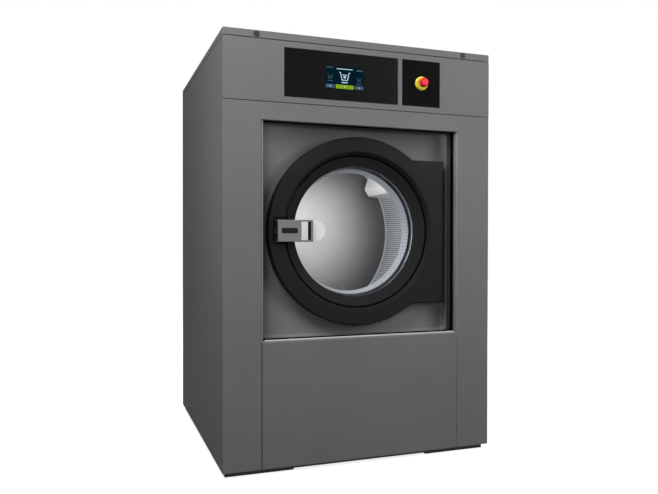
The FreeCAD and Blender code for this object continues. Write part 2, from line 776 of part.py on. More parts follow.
INNER_OUT = "(ring_step - ring_groove)"
keep("door_inner_ring", turned("inner_ring", [
    (INNER_OUT, STEP), (INNER_OUT, FRAME), (f"{INNER_OUT} - ring_wall", FRAME),
    (f"{INNER_OUT} - ring_wall", f"{STEP} + ring_wall * 1.5"), ("window_radius + 6", f"{WINDOW} + 1"),
    ("window_radius", f"{WINDOW} + 1"), ("window_radius", WINDOW)]))

SEAL_FRONT = f"({WINDOW} + 1)"
GLASS = f"({SEAL_FRONT} + glass_seal_wall)"
SEAL_REAR = f"({GLASS} + glass_thick + glass_seal_wall)"
SEAL_OUT = "(window_radius + 18)"
SEAL_IN = "(window_radius + 3)"
keep("glass_seal", turned("glass_gasket", [
    (SEAL_IN, SEAL_FRONT), (SEAL_OUT, SEAL_FRONT), (SEAL_OUT, SEAL_REAR), (SEAL_IN, SEAL_REAR),
    (SEAL_IN, f"{SEAL_REAR} - glass_seal_wall"), (f"{SEAL_OUT} - 3", f"{SEAL_REAR} - glass_seal_wall"),
    (f"{SEAL_OUT} - 3", GLASS), (SEAL_IN, GLASS)]))

glass = turned("porthole", [
    (f"{SEAL_OUT} - 3", GLASS), (f"{SEAL_OUT} - 3", f"{GLASS} + glass_thick"),
    ("bowl_radius + glass_thick + 8", f"{GLASS} + glass_thick"),
    ("bowl_radius", f"{GLASS} + bowl_depth"), ("bowl_radius / 2", f"{GLASS} + bowl_depth + 10"),
    ("0", f"{GLASS} + bowl_depth + 13"), ("0", f"{GLASS} + bowl_depth + 13 - glass_thick"),
    ("bowl_radius / 2", f"{GLASS} + bowl_depth + 10 - glass_thick"),
    ("bowl_radius - glass_thick * 0.8", f"{GLASS} + bowl_depth - glass_thick"),
    ("bowl_radius + 8", GLASS)])
keep("door_glass", glass)

FRAME_BACK = f"({FRAME} + frame_thick)"
NECK_OUT = f"({SEAL_OUT} + neck_wall)"
NECK_REAR = f"({SEAL_REAR} + neck_wall)"
frame_ring = turned("frame_ring", [
    (SEAL_OUT, FRAME_BACK), (f"{SEAL_OUT} + 9", FRAME), ("frame_radius", FRAME),
    ("frame_radius", FRAME_BACK),
    (NECK_OUT, FRAME_BACK),
    (NECK_OUT, NECK_REAR), (f"{SEAL_IN} + 4", NECK_REAR), (f"{SEAL_IN} + 4", SEAL_REAR),
    (SEAL_OUT, SEAL_REAR)])
BOSS_TOP = "(lug_centre - lug_height / 2 - 0.5)"
arms = []
bores = []
for side, sign in (("lower", "-1"), ("upper", "1")):
    span = [f"axis_height + {sign} * {BOSS_TOP}", f"axis_height + {sign} * ({BOSS_TOP} - boss_height)"]
    span = span if side == "lower" else span[::-1]
    arms.append(box(f"arm_{side}", ("frame_radius - 40", "hinge_reach"),
                    (f"{FRAME_BACK} - frame_thick", FRAME_BACK), span))
    arms.append(box(f"arm_rib_{side}", ("hinge_reach - 8", "hinge_reach + boss_radius - 2"),
                    (HINGE, FRAME_BACK), span))
    arms.append(post(f"boss_{side}", "boss_radius", span, "hinge_reach", HINGE))
    bores.append(post(f"boss_bore_{side}", "pin_radius + running_fit", [f"{span[0]} - 1", f"{span[1]} + 1"],
                      "hinge_reach", HINGE))
latch_room = box("latch_room", ("-frame_radius - 5", f"{SLOT[1]} + 2"),
                 (f"{FRAME} - 1", f"{FRAME_BACK} + 1"),
                 ("axis_height - tongue_height / 2 - 6", "axis_height + tongue_height / 2 + 6"))
keep("door_frame", cut("door_carrier", fuse("door_carrier_solid", frame_ring, *arms), latch_room, *bores))


# hinge on the pan: two leaning lugs on foot plates, and a pin through each lug

lugs = []
pins = []
for side, sign in (("lower", "-1"), ("upper", "1")):
    middle = f"(axis_height + {sign} * lug_centre)"
    span = (f"{middle} - lug_height / 2", f"{middle} + lug_height / 2")
    shift = f"((pan_floor - {HINGE}) * tan(lug_lean))"
    web = upright(f"lug_web_{side}", [
        ("hinge_reach - boss_radius * 0.62", f"{HINGE} + boss_radius * 0.3"),
        ("hinge_reach + boss_radius * 0.36", f"{HINGE} + boss_radius * 0.3"),
        (f"hinge_reach - {shift} + 9", "pan_floor"), (f"hinge_reach - {shift} - 9", "pan_floor")], span)
    eye = post(f"lug_eye_{side}", "boss_radius - 1", span, "hinge_reach", HINGE)
    foot = box(f"lug_foot_{side}", (f"hinge_reach - {shift} - 12", f"hinge_reach - {shift} + 12"),
               ("pan_floor - 4", "pan_floor"), (f"{span[0]} - 16", f"{span[1]} + 16"))
    hole = post(f"lug_hole_{side}", "pin_radius", (f"{span[0]} - 1", f"{span[1]} + 1"), "hinge_reach",
                HINGE)
    lugs.append(cut(f"lug_{side}", fuse(f"lug_solid_{side}", web, eye, foot), hole))
    reach = [f"axis_height + {sign} * (lug_centre + lug_height / 2)",
             f"axis_height + {sign} * ({BOSS_TOP} - boss_height - 2)"]
    pins.append(post(f"hinge_pin_{side}", "pin_radius", reach if side == "lower" else reach[::-1],
                     "hinge_reach", HINGE))
keep("hinge_brackets", group("hinge_brackets", *lugs))
keep("hinge_pins", group("hinge_pins", *pins))


# handle: lever, back plate, pivot pin and latch tongue

GRIP = "(ring_front - handle_reach)"
LEVER_X = ("(-(handle_right + handle_length))", "(-handle_right)")
HALF_GRIP = "(handle_height / 2)"
EAR = "(pivot_inset + 6)"


def about(half):
    return f"axis_height - {half}", f"axis_height + {half}"


lever_solid = [box("lever_face", LEVER_X, (GRIP, f"{GRIP} + handle_wall"), about(HALF_GRIP)),
               box("lever_end", (LEVER_X[0], f"{LEVER_X[0]} + handle_wall"), (GRIP, f"{GRIP} + handle_flange"),
                   about(HALF_GRIP))]
pin_bores = []
for side, sign in (("lower", "-1"), ("upper", "1")):
    span = [f"axis_height + {sign} * {HALF_GRIP}", f"axis_height + {sign} * ({HALF_GRIP} - handle_wall)"]
    span = span if side == "lower" else span[::-1]
    lever_solid.append(box(f"lever_flange_{side}", LEVER_X, (GRIP, f"{GRIP} + handle_flange"), span))
    lever_solid.append(box(f"lever_ear_{side}", (LEVER_X[0], f"{LEVER_X[0]} + 2 * pivot_inset"),
                           (GRIP, PIVOT), span))
    lever_solid.append(post(f"lever_eye_{side}", "pivot_inset", span, PIVOT_X, PIVOT))
    pin_bores.append(post(f"lever_bore_{side}", "pivot_radius + running_fit",
                          [f"{span[0]} - 1", f"{span[1]} + 1"], PIVOT_X, PIVOT))
grip_hole = box("grip_hole", ("-handle_right - grip_rim - grip_width", "-handle_right - grip_rim"),
                (f"{GRIP} - 1", f"{GRIP} + handle_wall + 1"), about(f"({HALF_GRIP} - handle_wall - 1.5)"))
lever_raw = cut("lever_raw", fuse("lever_solid", *lever_solid), grip_hole, *pin_bores)
keep("handle_lever", rounded("lever_round", lever_raw,
                             ("2", dict(x=LEVER_X[0], depth=GRIP)),
                             ("2", dict(x=LEVER_X[1], depth=GRIP)),
                             ("2", dict(depth=GRIP, z=f"axis_height - {HALF_GRIP}")),
                             ("2", dict(depth=GRIP, z=f"axis_height + {HALF_GRIP}"))))

TONGUE_Z = about("tongue_height / 2")
tongue_eye = post("tongue_eye", "pivot_inset - 0.5", TONGUE_Z, PIVOT_X, PIVOT)
tongue_web = box("tongue_web", (f"{PIVOT_X} - tongue_width / 2", f"{PIVOT_X} + tongue_width / 2"),
                 (f"{GRIP} + handle_wall", "tongue_reach"), TONGUE_Z)
tongue_bore = post("tongue_bore", "pivot_radius + running_fit",
                   (f"{TONGUE_Z[0]} - 1", f"{TONGUE_Z[1]} + 1"), PIVOT_X, PIVOT)
keep("latch_tongue", cut("latch_bar", fuse("latch_solid", tongue_eye, tongue_web), tongue_bore))

PLATE = "(ring_front - plate_lead)"
PLATE_LEFT = f"({PIVOT_X} + 2 * pivot_inset + 2)"
NOSE = f"(-(plate_reach + {HALF_GRIP}))"
plate_flat = box("plate_flat", (PLATE_LEFT, NOSE), (PLATE, f"{PLATE} + plate_thick"), about(HALF_GRIP))
plate_nose = bar("plate_nose", HALF_GRIP, (PLATE, f"{PLATE} + plate_thick"), NOSE)
plate_foot = box("plate_foot", (PLATE_LEFT, f"{PLATE_LEFT} + 8"), (PLATE, POCKET_FLOOR),
                 about(f"({HALF_GRIP} - 8)"))
holders = []
holder_bores = []
for side, sign in (("lower", "-1"), ("upper", "1")):
    outer = f"({HALF_GRIP} - handle_wall - 1)"
    span = [f"axis_height + {sign} * {outer}", f"axis_height + {sign} * ({outer} - 8)"]
    span = span if side == "lower" else span[::-1]
    holders.append(box(f"holder_{side}", (PIVOT_X, f"{PLATE_LEFT} + 4"), (f"{PIVOT} - 6", f"{PIVOT} + 6"),
                       span))
    holders.append(post(f"holder_eye_{side}", "6", span, PIVOT_X, PIVOT))
    holder_bores.append(post(f"holder_bore_{side}", "pivot_radius", [f"{span[0]} - 1", f"{span[1]} + 1"],
                             PIVOT_X, PIVOT))
keep("handle_backplate",
     cut("back_plate", fuse("back_plate_solid", plate_flat, plate_nose, plate_foot, *holders),
         *holder_bores))
keep("handle_pin", post("lever_pin", "pivot_radius", about(HALF_GRIP), PIVOT_X, PIVOT))

LOCK_ROOM = (TONGUE_LEFT, tongue_right("tongue_reach"))
LOCK = (f"{LOCK_ROOM[0]} - 4", f"{LOCK_ROOM[1]} + 4")
lock_box = box("lock_box", LOCK, (PAN_BACK, "tub_front"), about("tongue_height / 2 + 12"))
lock_room = box("lock_room", LOCK_ROOM, (f"{PAN_BACK} - 1", "tongue_reach + 6"),
                about("tongue_height / 2 + 6"))
lock_coil = box("lock_coil", LOCK, (f"{PAN_BACK} + 4", "tub_front - 4"),
                ("axis_height + tongue_height / 2 + 12", "axis_height + tongue_height / 2 + 70"))
keep("door_lock", fuse("lock_body", cut("lock_frame", lock_box, lock_room), lock_coil))


# tub

TUB_IN = "(drum_radius + tub_gap)"
TUB_OUT = f"({TUB_IN} + tub_sheet)"
COLLAR_OUT = "(collar_radius + tub_sheet)"
front_turned = turned("front_plate", [
    ("collar_radius", "collar_front"), (COLLAR_OUT, "collar_front"), (COLLAR_OUT, "tub_front"),
    (TUB_OUT, "tub_front"),
    (TUB_OUT, "tub_front + tub_sheet"), ("collar_radius", "tub_front + tub_sheet")])
standoffs = []
for x_sign in ("-1", "1"):
    for z_sign in ("-1", "1"):
        standoffs.append(bar(f"standoff_{x_sign}_{z_sign}", "12", (PAN_BACK, "tub_front + 1"),
                             f"{x_sign} * {TUB_OUT} * 0.6",
                             f"axis_height + {z_sign} * {TUB_OUT} * 0.68"))
keep("tub_front", fuse("tub_front_plate", front_turned, *standoffs))
SEAL_FACE = f"({NECK_REAR} + seal_gap)"
keep("door_seal", turned("mouth_seal", [(COLLAR_OUT, SEAL_FACE), (f"{COLLAR_OUT} + 14", SEAL_FACE),
                                        (f"{COLLAR_OUT} + 14", f"{SEAL_FACE} + 8"),
                                        (f"{COLLAR_OUT} + 6", f"{SEAL_FACE} + 16"),
                                        (COLLAR_OUT, f"{SEAL_FACE} + 16")]))

drum_of_tub = turned("tub_can", [
    (TUB_IN, "tub_front + tub_sheet"), (TUB_OUT, "tub_front + tub_sheet"), (TUB_OUT, TUB_REAR),
    ("shaft_radius + 20", TUB_REAR), ("shaft_radius + 20", f"{TUB_REAR} - tub_sheet"),
    (TUB_IN, f"{TUB_REAR} - tub_sheet")])
sump = post("sump", "drain_radius", ("sump_low", f"axis_height - {TUB_IN} + 60"), "-drain_offset",
            "drain_depth")
sump_bore = post("sump_bore", "drain_radius - 4", ("sump_low - 1", f"axis_height - {TUB_IN} + 70"),
                 "-drain_offset", "drain_depth")
FILL_TOP = f"(axis_height + {TUB_OUT} - 16)"
fill_stub = post("fill_stub", "hose_radius", (f"axis_height + {TUB_IN} * 0.8", FILL_TOP), "-inlet_offset",
                 FILL_DEPTH)
fill_bore = post("fill_bore", "hose_radius - hose_wall",
                 (f"axis_height + {TUB_IN} * 0.7", f"{FILL_TOP} + 1"), "-inlet_offset", FILL_DEPTH)
tub_inside = bar("tub_inside", TUB_IN, ("tub_front", f"{TUB_REAR} - tub_sheet"))
heater_spots = [(math.sin(math.radians(angle)), math.cos(math.radians(angle))) for angle in (-9, 0, 9)]
HEATER_R = "(drum_radius + tub_gap / 2 + drum_sheet / 2)"
heaters = []
heater_holes = []
for index, (across, down) in enumerate(heater_spots):
    x = f"({across:.6f} * {HEATER_R})"
    z = f"(axis_height - {down:.6f} * {HEATER_R})"
    rod = bar(f"heater_rod_{index}", "heater_radius", ("drum_front + 40", f"{TUB_REAR} + 30"), x, z)
    head = bar(f"heater_head_{index}", "heater_radius + 6", (TUB_REAR, f"{TUB_REAR} + 12"), x, z)
    heaters.append(fuse(f"heater_{index}", rod, head))
    heater_holes.append(bar(f"heater_hole_{index}", "heater_radius",
                            (f"{TUB_REAR} - 20", f"{TUB_REAR} + 5"), x, z))
tub_stubs = fuse("tub_with_stubs", drum_of_tub,
                 cut("stubs_trimmed", fuse("stubs", sump, fill_stub), tub_inside))
keep("tub_shell", cut("tub_vessel", tub_stubs, sump_bore, fill_bore, *heater_holes))
keep("heater_rods", group("heater_rods", *heaters))


# drum

SHEET_OUT = "(drum_radius + drum_sheet)"
keep("drum_wall", turned("drum_cylinder", [
    ("drum_radius", "drum_front"), (SHEET_OUT, "drum_front"), (SHEET_OUT, DRUM_REAR),
    ("drum_radius", DRUM_REAR)]))
keep("drum_front", turned("drum_mouth", [
    ("drum_neck", "drum_lip"), ("drum_neck + drum_sheet", "drum_lip"),
    ("drum_throat + drum_sheet", "throat_depth - drum_sheet"), (SHEET_OUT, "drum_front - drum_sheet"),
    (SHEET_OUT, "drum_front"), ("drum_throat", "throat_depth + drum_sheet")]))
keep("drum_back", turned("drum_disc", [
    ("0", DRUM_REAR), (SHEET_OUT, DRUM_REAR), (SHEET_OUT, f"{DRUM_REAR} + drum_sheet"),
    ("0", f"{DRUM_REAR} + drum_sheet")]))

LIFTER_DEPTH = ("drum_front + lifter_inset", f"{DRUM_REAR} - lifter_inset")
lifters = []
for index in range(3):
    rib = prism(f"rib_{index}", [
        ("-lifter_width / 2", "-drum_radius - 3"), ("lifter_width / 2", "-drum_radius - 3"),
        ("lifter_crest / 2", "-drum_radius + lifter_tall"),
        ("-lifter_crest / 2", "-drum_radius + lifter_tall")],
        LIFTER_DEPTH, "axis_height")
    crest = number("-drum_radius + lifter_tall")
    half_crest = number("lifter_crest / 2")
    soften(rib, "lifter_crest * 0.45", lambda edge: flat(edge.BoundBox.ZMin, edge.BoundBox.ZMax, crest)
           and flat(abs(edge.BoundBox.XMin), abs(edge.BoundBox.XMax), half_crest))
    turn = FreeCAD.Rotation(FreeCAD.Vector(0, 1, 0), -(90 + number("lifter_angle") + 120 * index))
    rib.Placement = FreeCAD.Placement(rib.Placement.Base, turn)
    bound = bar(f"rib_bound_{index}", "drum_radius", ("drum_front", DRUM_REAR))
    both = doc.addObject("Part::Common", f"rib_trimmed_{index}")
    both.Base = rib
    both.Tool = bound
    core = prism(f"rib_core_{index}", [
        ("-lifter_width / 2 + 2 * lifter_sheet", "-drum_radius - 4"),
        ("lifter_width / 2 - 2 * lifter_sheet", "-drum_radius - 4"),
        ("lifter_crest / 2 - lifter_sheet / 2", "-drum_radius + lifter_tall - lifter_sheet"),
        ("-lifter_crest / 2 + lifter_sheet / 2", "-drum_radius + lifter_tall - lifter_sheet")],
        (f"{LIFTER_DEPTH[0]} + lifter_sheet", f"{LIFTER_DEPTH[1]} - lifter_sheet"), "axis_height")
    core.Placement = FreeCAD.Placement(core.Placement.Base, turn)
    lifters.append(cut(f"lifter_{index}", both, core))
keep("drum_lifters", group("drum_lifters", *lifters))

DISC = f"({DRUM_REAR} + drum_sheet)"
hub = bar("spider_hub", "hub_radius", (DISC, f"{DISC} + arm_thick + 10"))
spider_pieces = [hub]
for index in range(3):
    arm = doc.addObject("Part::Box", f"spider_arm_{index}")
    bind(arm, Length="drum_radius - 12", Width="arm_thick", Height="arm_width")
    turn = FreeCAD.Rotation(FreeCAD.Vector(0, 1, 0), -(number("lifter_angle") + 120 * index))
    arm.Placement = FreeCAD.Placement(FreeCAD.Vector(), turn)
    offset = turn.multVec(FreeCAD.Vector(0, 0, -1))
    place(arm, f"{offset.x:.9f} * arm_width / 2", at(DISC), f"axis_height + {offset.z:.9f} * arm_width / 2")
    spider_pieces.append(arm)
SHAFT_START = f"({DISC} + 4)"
spider_bore = bar("spider_bore", "shaft_radius", (SHAFT_START, f"{DISC} + arm_thick + 11"))
keep("drum_spider", cut("spider", fuse("spider_solid", *spider_pieces), spider_bore))
PULLEY_END = f"({PULLEY_START} + pulley_width)"
keep("drum_shaft", bar("drum_axle", "shaft_radius", (SHAFT_START, f"{PULLEY_END} + 6")))

PULLEY = [PULLEY_START, PULLEY_END]
web_mid = f"({PULLEY_START} + pulley_width / 2)"
wheel = turned("pulley_wheel", [
    ("shaft_radius", PULLEY_START), ("shaft_radius + 24", PULLEY_START),
    ("shaft_radius + 24", f"{web_mid} - 5"),
    ("pulley_radius - 20", f"{web_mid} - 5"), ("pulley_radius - 20", PULLEY_START),
    ("pulley_radius", PULLEY_START),
    ("pulley_radius", PULLEY_END), ("pulley_radius - 20", PULLEY_END),
    ("pulley_radius - 20", f"{web_mid} + 5"),
    ("shaft_radius + 24", f"{web_mid} + 5"), ("shaft_radius + 24", PULLEY_END),
    ("shaft_radius", PULLEY_END)])
HOLE_RING = "((shaft_radius + 24 + pulley_radius - 20) / 2)"
openings = []
for index in range(5):
    angle = math.radians(72 * index + 90)
    openings.append(bar(f"pulley_hole_{index}", "(pulley_radius - 44 - shaft_radius) / 2 - 22",
                        (f"{web_mid} - 8", f"{web_mid} + 8"),
                        f"{math.cos(angle):.9f} * {HOLE_RING}",
                        f"axis_height + {math.sin(angle):.9f} * {HOLE_RING}"))
keep("drum_pulley", cut("pulley", wheel, *openings))

HOUSING_END = f"({TUB_REAR} + housing_length)"
BEARING_OUT = "(shaft_radius + running_fit + bearing_wall)"
keep("bearing_housing", turned("bearing_carrier", [
    (BEARING_OUT, TUB_REAR), ("housing_flange", TUB_REAR), ("housing_flange", f"{TUB_REAR} + 14"),
    ("housing_radius + 24", f"{TUB_REAR} + 14"), ("housing_radius", f"{TUB_REAR} + 40"),
    ("housing_radius", HOUSING_END),
    (BEARING_OUT, HOUSING_END)]))
bearings = []
for end, start in (("front", f"{TUB_REAR} + 12"), ("rear", f"{HOUSING_END} - bearing_width - 8")):
    bearings.append(turned(f"bearing_{end}", [
        ("shaft_radius + running_fit", start), (BEARING_OUT, start),
        (BEARING_OUT, f"{start} + bearing_width"),
        ("shaft_radius + running_fit", f"{start} + bearing_width")]))
keep("shaft_bearings", group("shaft_bearings", *bearings))


# motor, its rotor and the belt

motor_solid = turned("motor_case", [
    ("0", MOTOR_FRONT), ("motor_radius - 8", MOTOR_FRONT), ("motor_radius", f"{MOTOR_FRONT} + 8"),
    ("motor_radius", f"{MOTOR_REAR} - 30"), ("motor_radius - 20", MOTOR_REAR), ("0", MOTOR_REAR)],
    "motor_offset", "motor_height")
FOOT_TOP = "(motor_height + motor_radius + 8)"
motor_foot = box("motor_foot", ("motor_offset - 70", "motor_offset + 70"),
                 (f"{MOTOR_FRONT} + 30", f"{MOTOR_REAR} - 50"),
                 ("motor_height + motor_radius * 0.5", FOOT_TOP))
motor_bore = bar("motor_bore", "motor_shaft + running_fit", (f"{MOTOR_REAR} - 60", f"{MOTOR_REAR} + 5"),
                 "motor_offset", "motor_height")
keep("motor", cut("motor_body", fuse("motor_solid", motor_solid, motor_foot), motor_bore))
keep("motor_rotor", turned("rotor", [
    ("0", f"{MOTOR_REAR} - 58"), ("motor_shaft", f"{MOTOR_REAR} - 58"), ("motor_shaft", PULLEY_START),
    ("motor_pulley_radius", PULLEY_START), ("motor_pulley_radius", PULLEY_END), ("0", PULLEY_END)],
    "motor_offset", "motor_height"))


def belt_loop(extra, depth, thick):
    """A band round both pulleys, as far outside them as the extra says."""
    far = FreeCAD.Vector(0, number(at(depth)), number("axis_height"))
    near = FreeCAD.Vector(number("motor_offset"), number(at(depth)), number("motor_height"))
    big, small = number("pulley_radius") + extra, number("motor_pulley_radius") + extra
    along = near - far
    length = along.Length
    heading = math.atan2(along.z, along.x)
    swing = math.acos((big - small) / length)

    def spot(centre, radius, angle):
        return centre + FreeCAD.Vector(radius * math.cos(angle), 0, radius * math.sin(angle))

    up, down = heading + swing, heading - swing
    outer = Part.Arc(spot(far, big, up), spot(far, big, heading + math.pi), spot(far, big, down))
    inner = Part.Arc(spot(near, small, down), spot(near, small, heading), spot(near, small, up))
    run_a = Part.LineSegment(spot(far, big, down), spot(near, small, down))
    run_b = Part.LineSegment(spot(near, small, up), spot(far, big, up))
    loop = Part.Wire([outer.toShape(), run_a.toShape(), inner.toShape(), run_b.toShape()])
    return Part.Face(loop).extrude(FreeCAD.Vector(0, thick, 0))


belt_start, belt_wide = f"{PULLEY_START} + 6", number("pulley_width - 12")
belt_gap = number("belt_gap")
outer_band = belt_loop(belt_gap + number("belt_thick"), belt_start, belt_wide)
keep("drive_belt", drawn("belt", outer_band.cut(belt_loop(belt_gap, belt_start, belt_wide))))


# cradle under the tub, its springs and dampers

CRADLE_TOP = "(cradle_low + cradle_thick)"
TUB_BED = bar("tub_bed", TUB_OUT, ("saddle_front - 5", f"{SADDLE_REAR} + saddle_thick + 5"))
saddles = []
for end, depth in (("front", "saddle_front"), ("rear", SADDLE_REAR)):
    plate = box(f"saddle_plate_{end}", ("-cradle_width + saddle_inset", "cradle_width - saddle_inset"),
                (depth, f"{depth} + saddle_thick"), (CRADLE_TOP, "axis_height - drum_radius * 0.72"))
    saddles.append(cut(f"saddle_{end}", plate, TUB_BED))
rails = []
for side, sign in SIDES:
    low, high = ("-cradle_width",
                 "-cradle_width + cradle_beam") if side == "left" else ("cradle_width - cradle_beam",
                                                                        "cradle_width")
    rails.append(box(f"cradle_rail_{side}", (low, high),
                     ("saddle_front - 10", f"{SADDLE_REAR} + saddle_thick + 20"),
                     ("cradle_low", CRADLE_TOP)))
motor_plate = box("motor_plate", ("motor_offset - 90", "motor_offset + 90"),
                  (f"{SADDLE_REAR} + saddle_thick", f"{MOTOR_REAR} - 40"),
                  (FOOT_TOP, f"{FOOT_TOP} + 12"))
HOSE_OUT = "(drain_radius + drain_hose_wall)"
hose_room = post("hose_room", f"{HOSE_OUT} + hose_room", ("valve_top", "sump_low"), "-drain_offset",
                 "drain_depth")
keep("tub_cradle", cut("cradle", fuse("cradle_solid", *saddles, *rails, motor_plate), hose_room))

SPOTS = [(f"{sign} * {{}}", depth) for side, sign in SIDES for depth in ("spring_front", SPRING_REAR)]
coils = []
for pattern, depth in SPOTS:
    wire = number("spring_wire")
    rise = number(f"cradle_low - {BASE_TOP}") - 2 * wire
    path = Part.makeHelix(rise / number("spring_turns"), rise, number("spring_radius"))
    ring = Part.Wire([Part.Circle(FreeCAD.Vector(number("spring_radius"), 0, 0), FreeCAD.Vector(0, 1, 0),
                                  wire).toShape()])
    coil = Part.Wire(path.Edges).makePipeShell([ring], True, True)
    coil.translate(FreeCAD.Vector(number(pattern.format("spring_offset")), number(at(depth)),
                                  number(BASE_TOP) + wire))
    coils.append(drawn(f"coil_{len(coils)}", coil))
keep("suspension_springs", group("suspension_springs", *coils))

tubes = []
rods = []
ROD_LOW = f"({BASE_TOP} + 60)"
for index, (pattern, depth) in enumerate(SPOTS):
    x = pattern.format("damper_offset")
    outside = post(f"damper_out_{index}", "damper_radius", (BASE_TOP, f"cradle_low - 55"), x, depth)
    bore = post(f"damper_bore_{index}", "rod_radius + sliding_fit", (f"{BASE_TOP} + 30", "cradle_low - 50"),
                x, depth)
    tubes.append(cut(f"damper_{index}", outside, bore))
    rods.append(post(f"damper_rod_{index}", "rod_radius", (ROD_LOW, "cradle_low"), x, depth))
keep("damper_tubes", group("damper_tubes", *tubes))
keep("damper_rods", group("damper_rods", *rods))


# services: drain, water inlets, fill hose, electronics and cable entry

OUTLET = f"({BACK} + outlet_reach)"
valve_body = post("valve_body", "valve_radius", (BASE_TOP, "valve_top"), "-drain_offset", "drain_depth")
valve_bore = post("valve_bore", "drain_radius - 4", ("drain_height", "valve_top + 1"), "-drain_offset",
                  "drain_depth")
DRAIN = ("-drain_offset", "drain_height")
PIPE = "(drain_radius - drain_step)"
drain_pipe = bar("drain_pipe", PIPE, ("drain_depth", f"{BACK} + 1"), *DRAIN)
drain_spigot = bar("drain_spigot", "drain_radius", (BACK, OUTLET), *DRAIN)
drain_bore = bar("drain_bore", f"{PIPE} - hose_wall", ("drain_depth", f"{OUTLET} + 1"), *DRAIN)
valve_motor = box("valve_motor", ("-drain_offset - 40", "-drain_offset + 40"),
                  ("drain_depth - valve_radius - 70", "drain_depth - 20"),
                  (BASE_TOP, f"{BASE_TOP} + 110"))
drain_solid = fuse("drain_solid", valve_body, drain_pipe, drain_spigot, valve_motor)
keep("drain_valve", cut("drain_body", drain_solid, valve_bore, drain_bore))
hose_out = post("drain_hose_out", HOSE_OUT, ("valve_top", "sump_low"), "-drain_offset", "drain_depth")
hose_in = post("drain_hose_in", "drain_radius - 4", ("valve_top - 1", "sump_low + 1"), "-drain_offset",
               "drain_depth")
keep("drain_hose", cut("drain_rubber", hose_out, hose_in))

valves = []
inlet_holes = []
for index in (-1, 0, 1):
    x = f"(-inlet_offset + {index} * inlet_spacing)"
    valves.append(bar(f"inlet_thread_{index}", "inlet_radius", (f"{BACK_IN} - 10", OUTLET), x,
                      "inlet_height"))
    valves.append(bar(f"inlet_flange_{index}", "inlet_radius + 7", (BACK, f"{BACK} + 6"), x,
                      "inlet_height"))
    valves.append(box(f"inlet_body_{index}", (f"{x} - 20", f"{x} + 20"), (f"{BACK_IN} - 52", BACK_IN),
                      ("inlet_height - 24", "inlet_height + 40")))
    inlet_holes.append(bar(f"inlet_hole_{index}", "inlet_radius", (f"{BACK_IN} - 5", f"{BACK} + 5"), x,
                           "inlet_height"))
MANIFOLD = f"({BACK_IN} - 82)"
valves.append(box("inlet_manifold",
                  ("-inlet_offset - inlet_spacing - 24", "-inlet_offset + inlet_spacing + 24"),
                  (MANIFOLD, f"{BACK_IN} - 52"), ("inlet_height - 24", "inlet_height + 24")))
keep("water_inlet_valves", fuse("inlet_block", *valves))


def hose_path(radius):
    """A hose that leaves the inlet block forwards and bends down onto the tub's stub."""
    bend = number("hose_bend")
    level, x = number("inlet_height"), number("-inlet_offset")
    y_start, y_end = number(at(MANIFOLD)), number(at(FILL_DEPTH))
    low = number(FILL_TOP)
    start = FreeCAD.Vector(x, y_start, level)
    turn_in = FreeCAD.Vector(x, y_end + bend, level)
    corner = bend * (1 - math.sqrt(0.5))
    middle = FreeCAD.Vector(x, y_end + corner, level - corner)
    turn_out = FreeCAD.Vector(x, y_end, level - bend)
    end = FreeCAD.Vector(x, y_end, low)
    edges = [Part.LineSegment(start, turn_in).toShape(), Part.Arc(turn_in, middle, turn_out).toShape(),
             Part.LineSegment(turn_out, end).toShape()]
    mouth = Part.Wire([Part.Circle(start, FreeCAD.Vector(0, 1, 0), radius).toShape()])
    return Part.Wire(edges).makePipeShell([mouth], True, False)


keep("fill_hose",
     drawn("fill_rubber",
           hose_path(number("hose_radius")).cut(hose_path(number("hose_radius - hose_wall")))))

BOX_RIGHT = f"({RIGHT} - sheet_thick - post_width - box_gap)"
BOX_HIGH = f"({LID_LOW} - box_drop)"
ELECTRONICS = ((f"{BOX_RIGHT} - box_width", BOX_RIGHT), (f"{BACK_IN} - box_depth", BACK_IN),
               (f"{BOX_HIGH} - box_height", BOX_HIGH))
inner_span = [(f"{low} + sheet_thick", f"{high} - sheet_thick") for low, high in ELECTRONICS]
keep("electronics_box",
     cut("electronics", box("electronics_out", *ELECTRONICS), box("electronics_in", *inner_span)))
gland = fuse("gland_solid",
             bar("gland_thread", "gland_radius", (f"{BACK_IN} - 16", f"{BACK} + 2"), "gland_offset",
                 "gland_height"),
             bar("gland_nut", "gland_radius + 6", (BACK, f"{BACK} + 12"), "gland_offset", "gland_height"),
             bar("gland_dome", "gland_radius + 2", (f"{BACK} + 12", f"{BACK} + outlet_reach - 4"),
                 "gland_offset", "gland_height"),
             bar("gland_lock", "gland_radius + 6", (f"{BACK_IN} - 8", BACK_IN), "gland_offset",
                 "gland_height"))
keep("cable_gland",
     cut("gland", gland,
         bar("gland_bore", "gland_radius - 5", (f"{BACK_IN} - 17", f"{BACK} + outlet_reach + 1"),
                                            "gland_offset", "gland_height")))

REAR_X = (f"{LEFT} + sheet_thick", f"{RIGHT} - sheet_thick")
rear_sheet = box("rear_sheet", REAR_X, (BACK_IN, BACK), ("base_lift", FASCIA_HIGH))
drain_hole = bar("drain_hole", f"{PIPE} + panel_play", (f"{BACK_IN} - 1", f"{BACK} + 1"), *DRAIN)
gland_hole = bar("gland_hole", "gland_radius", (f"{BACK_IN} - 1", f"{BACK} + 1"), "gland_offset",
                 "gland_height")
keep("rear_panel", cut("rear_wall", rear_sheet, drain_hole, gland_hole, *inlet_holes))
screws = []
for side, sign in SIDES:
    for index in range(5):
        z = f"(base_lift + 60 + {index} * ({FASCIA_HIGH} - base_lift - 120) / 4)"
        screws.append(bar(f"rear_screw_{side}_{index}", "5", (BACK, f"{BACK} + 3"),
                          f"{sign} * (cabinet_width / 2 - 17)", z))
keep("rear_panel_screws", group("rear_screws", *screws))


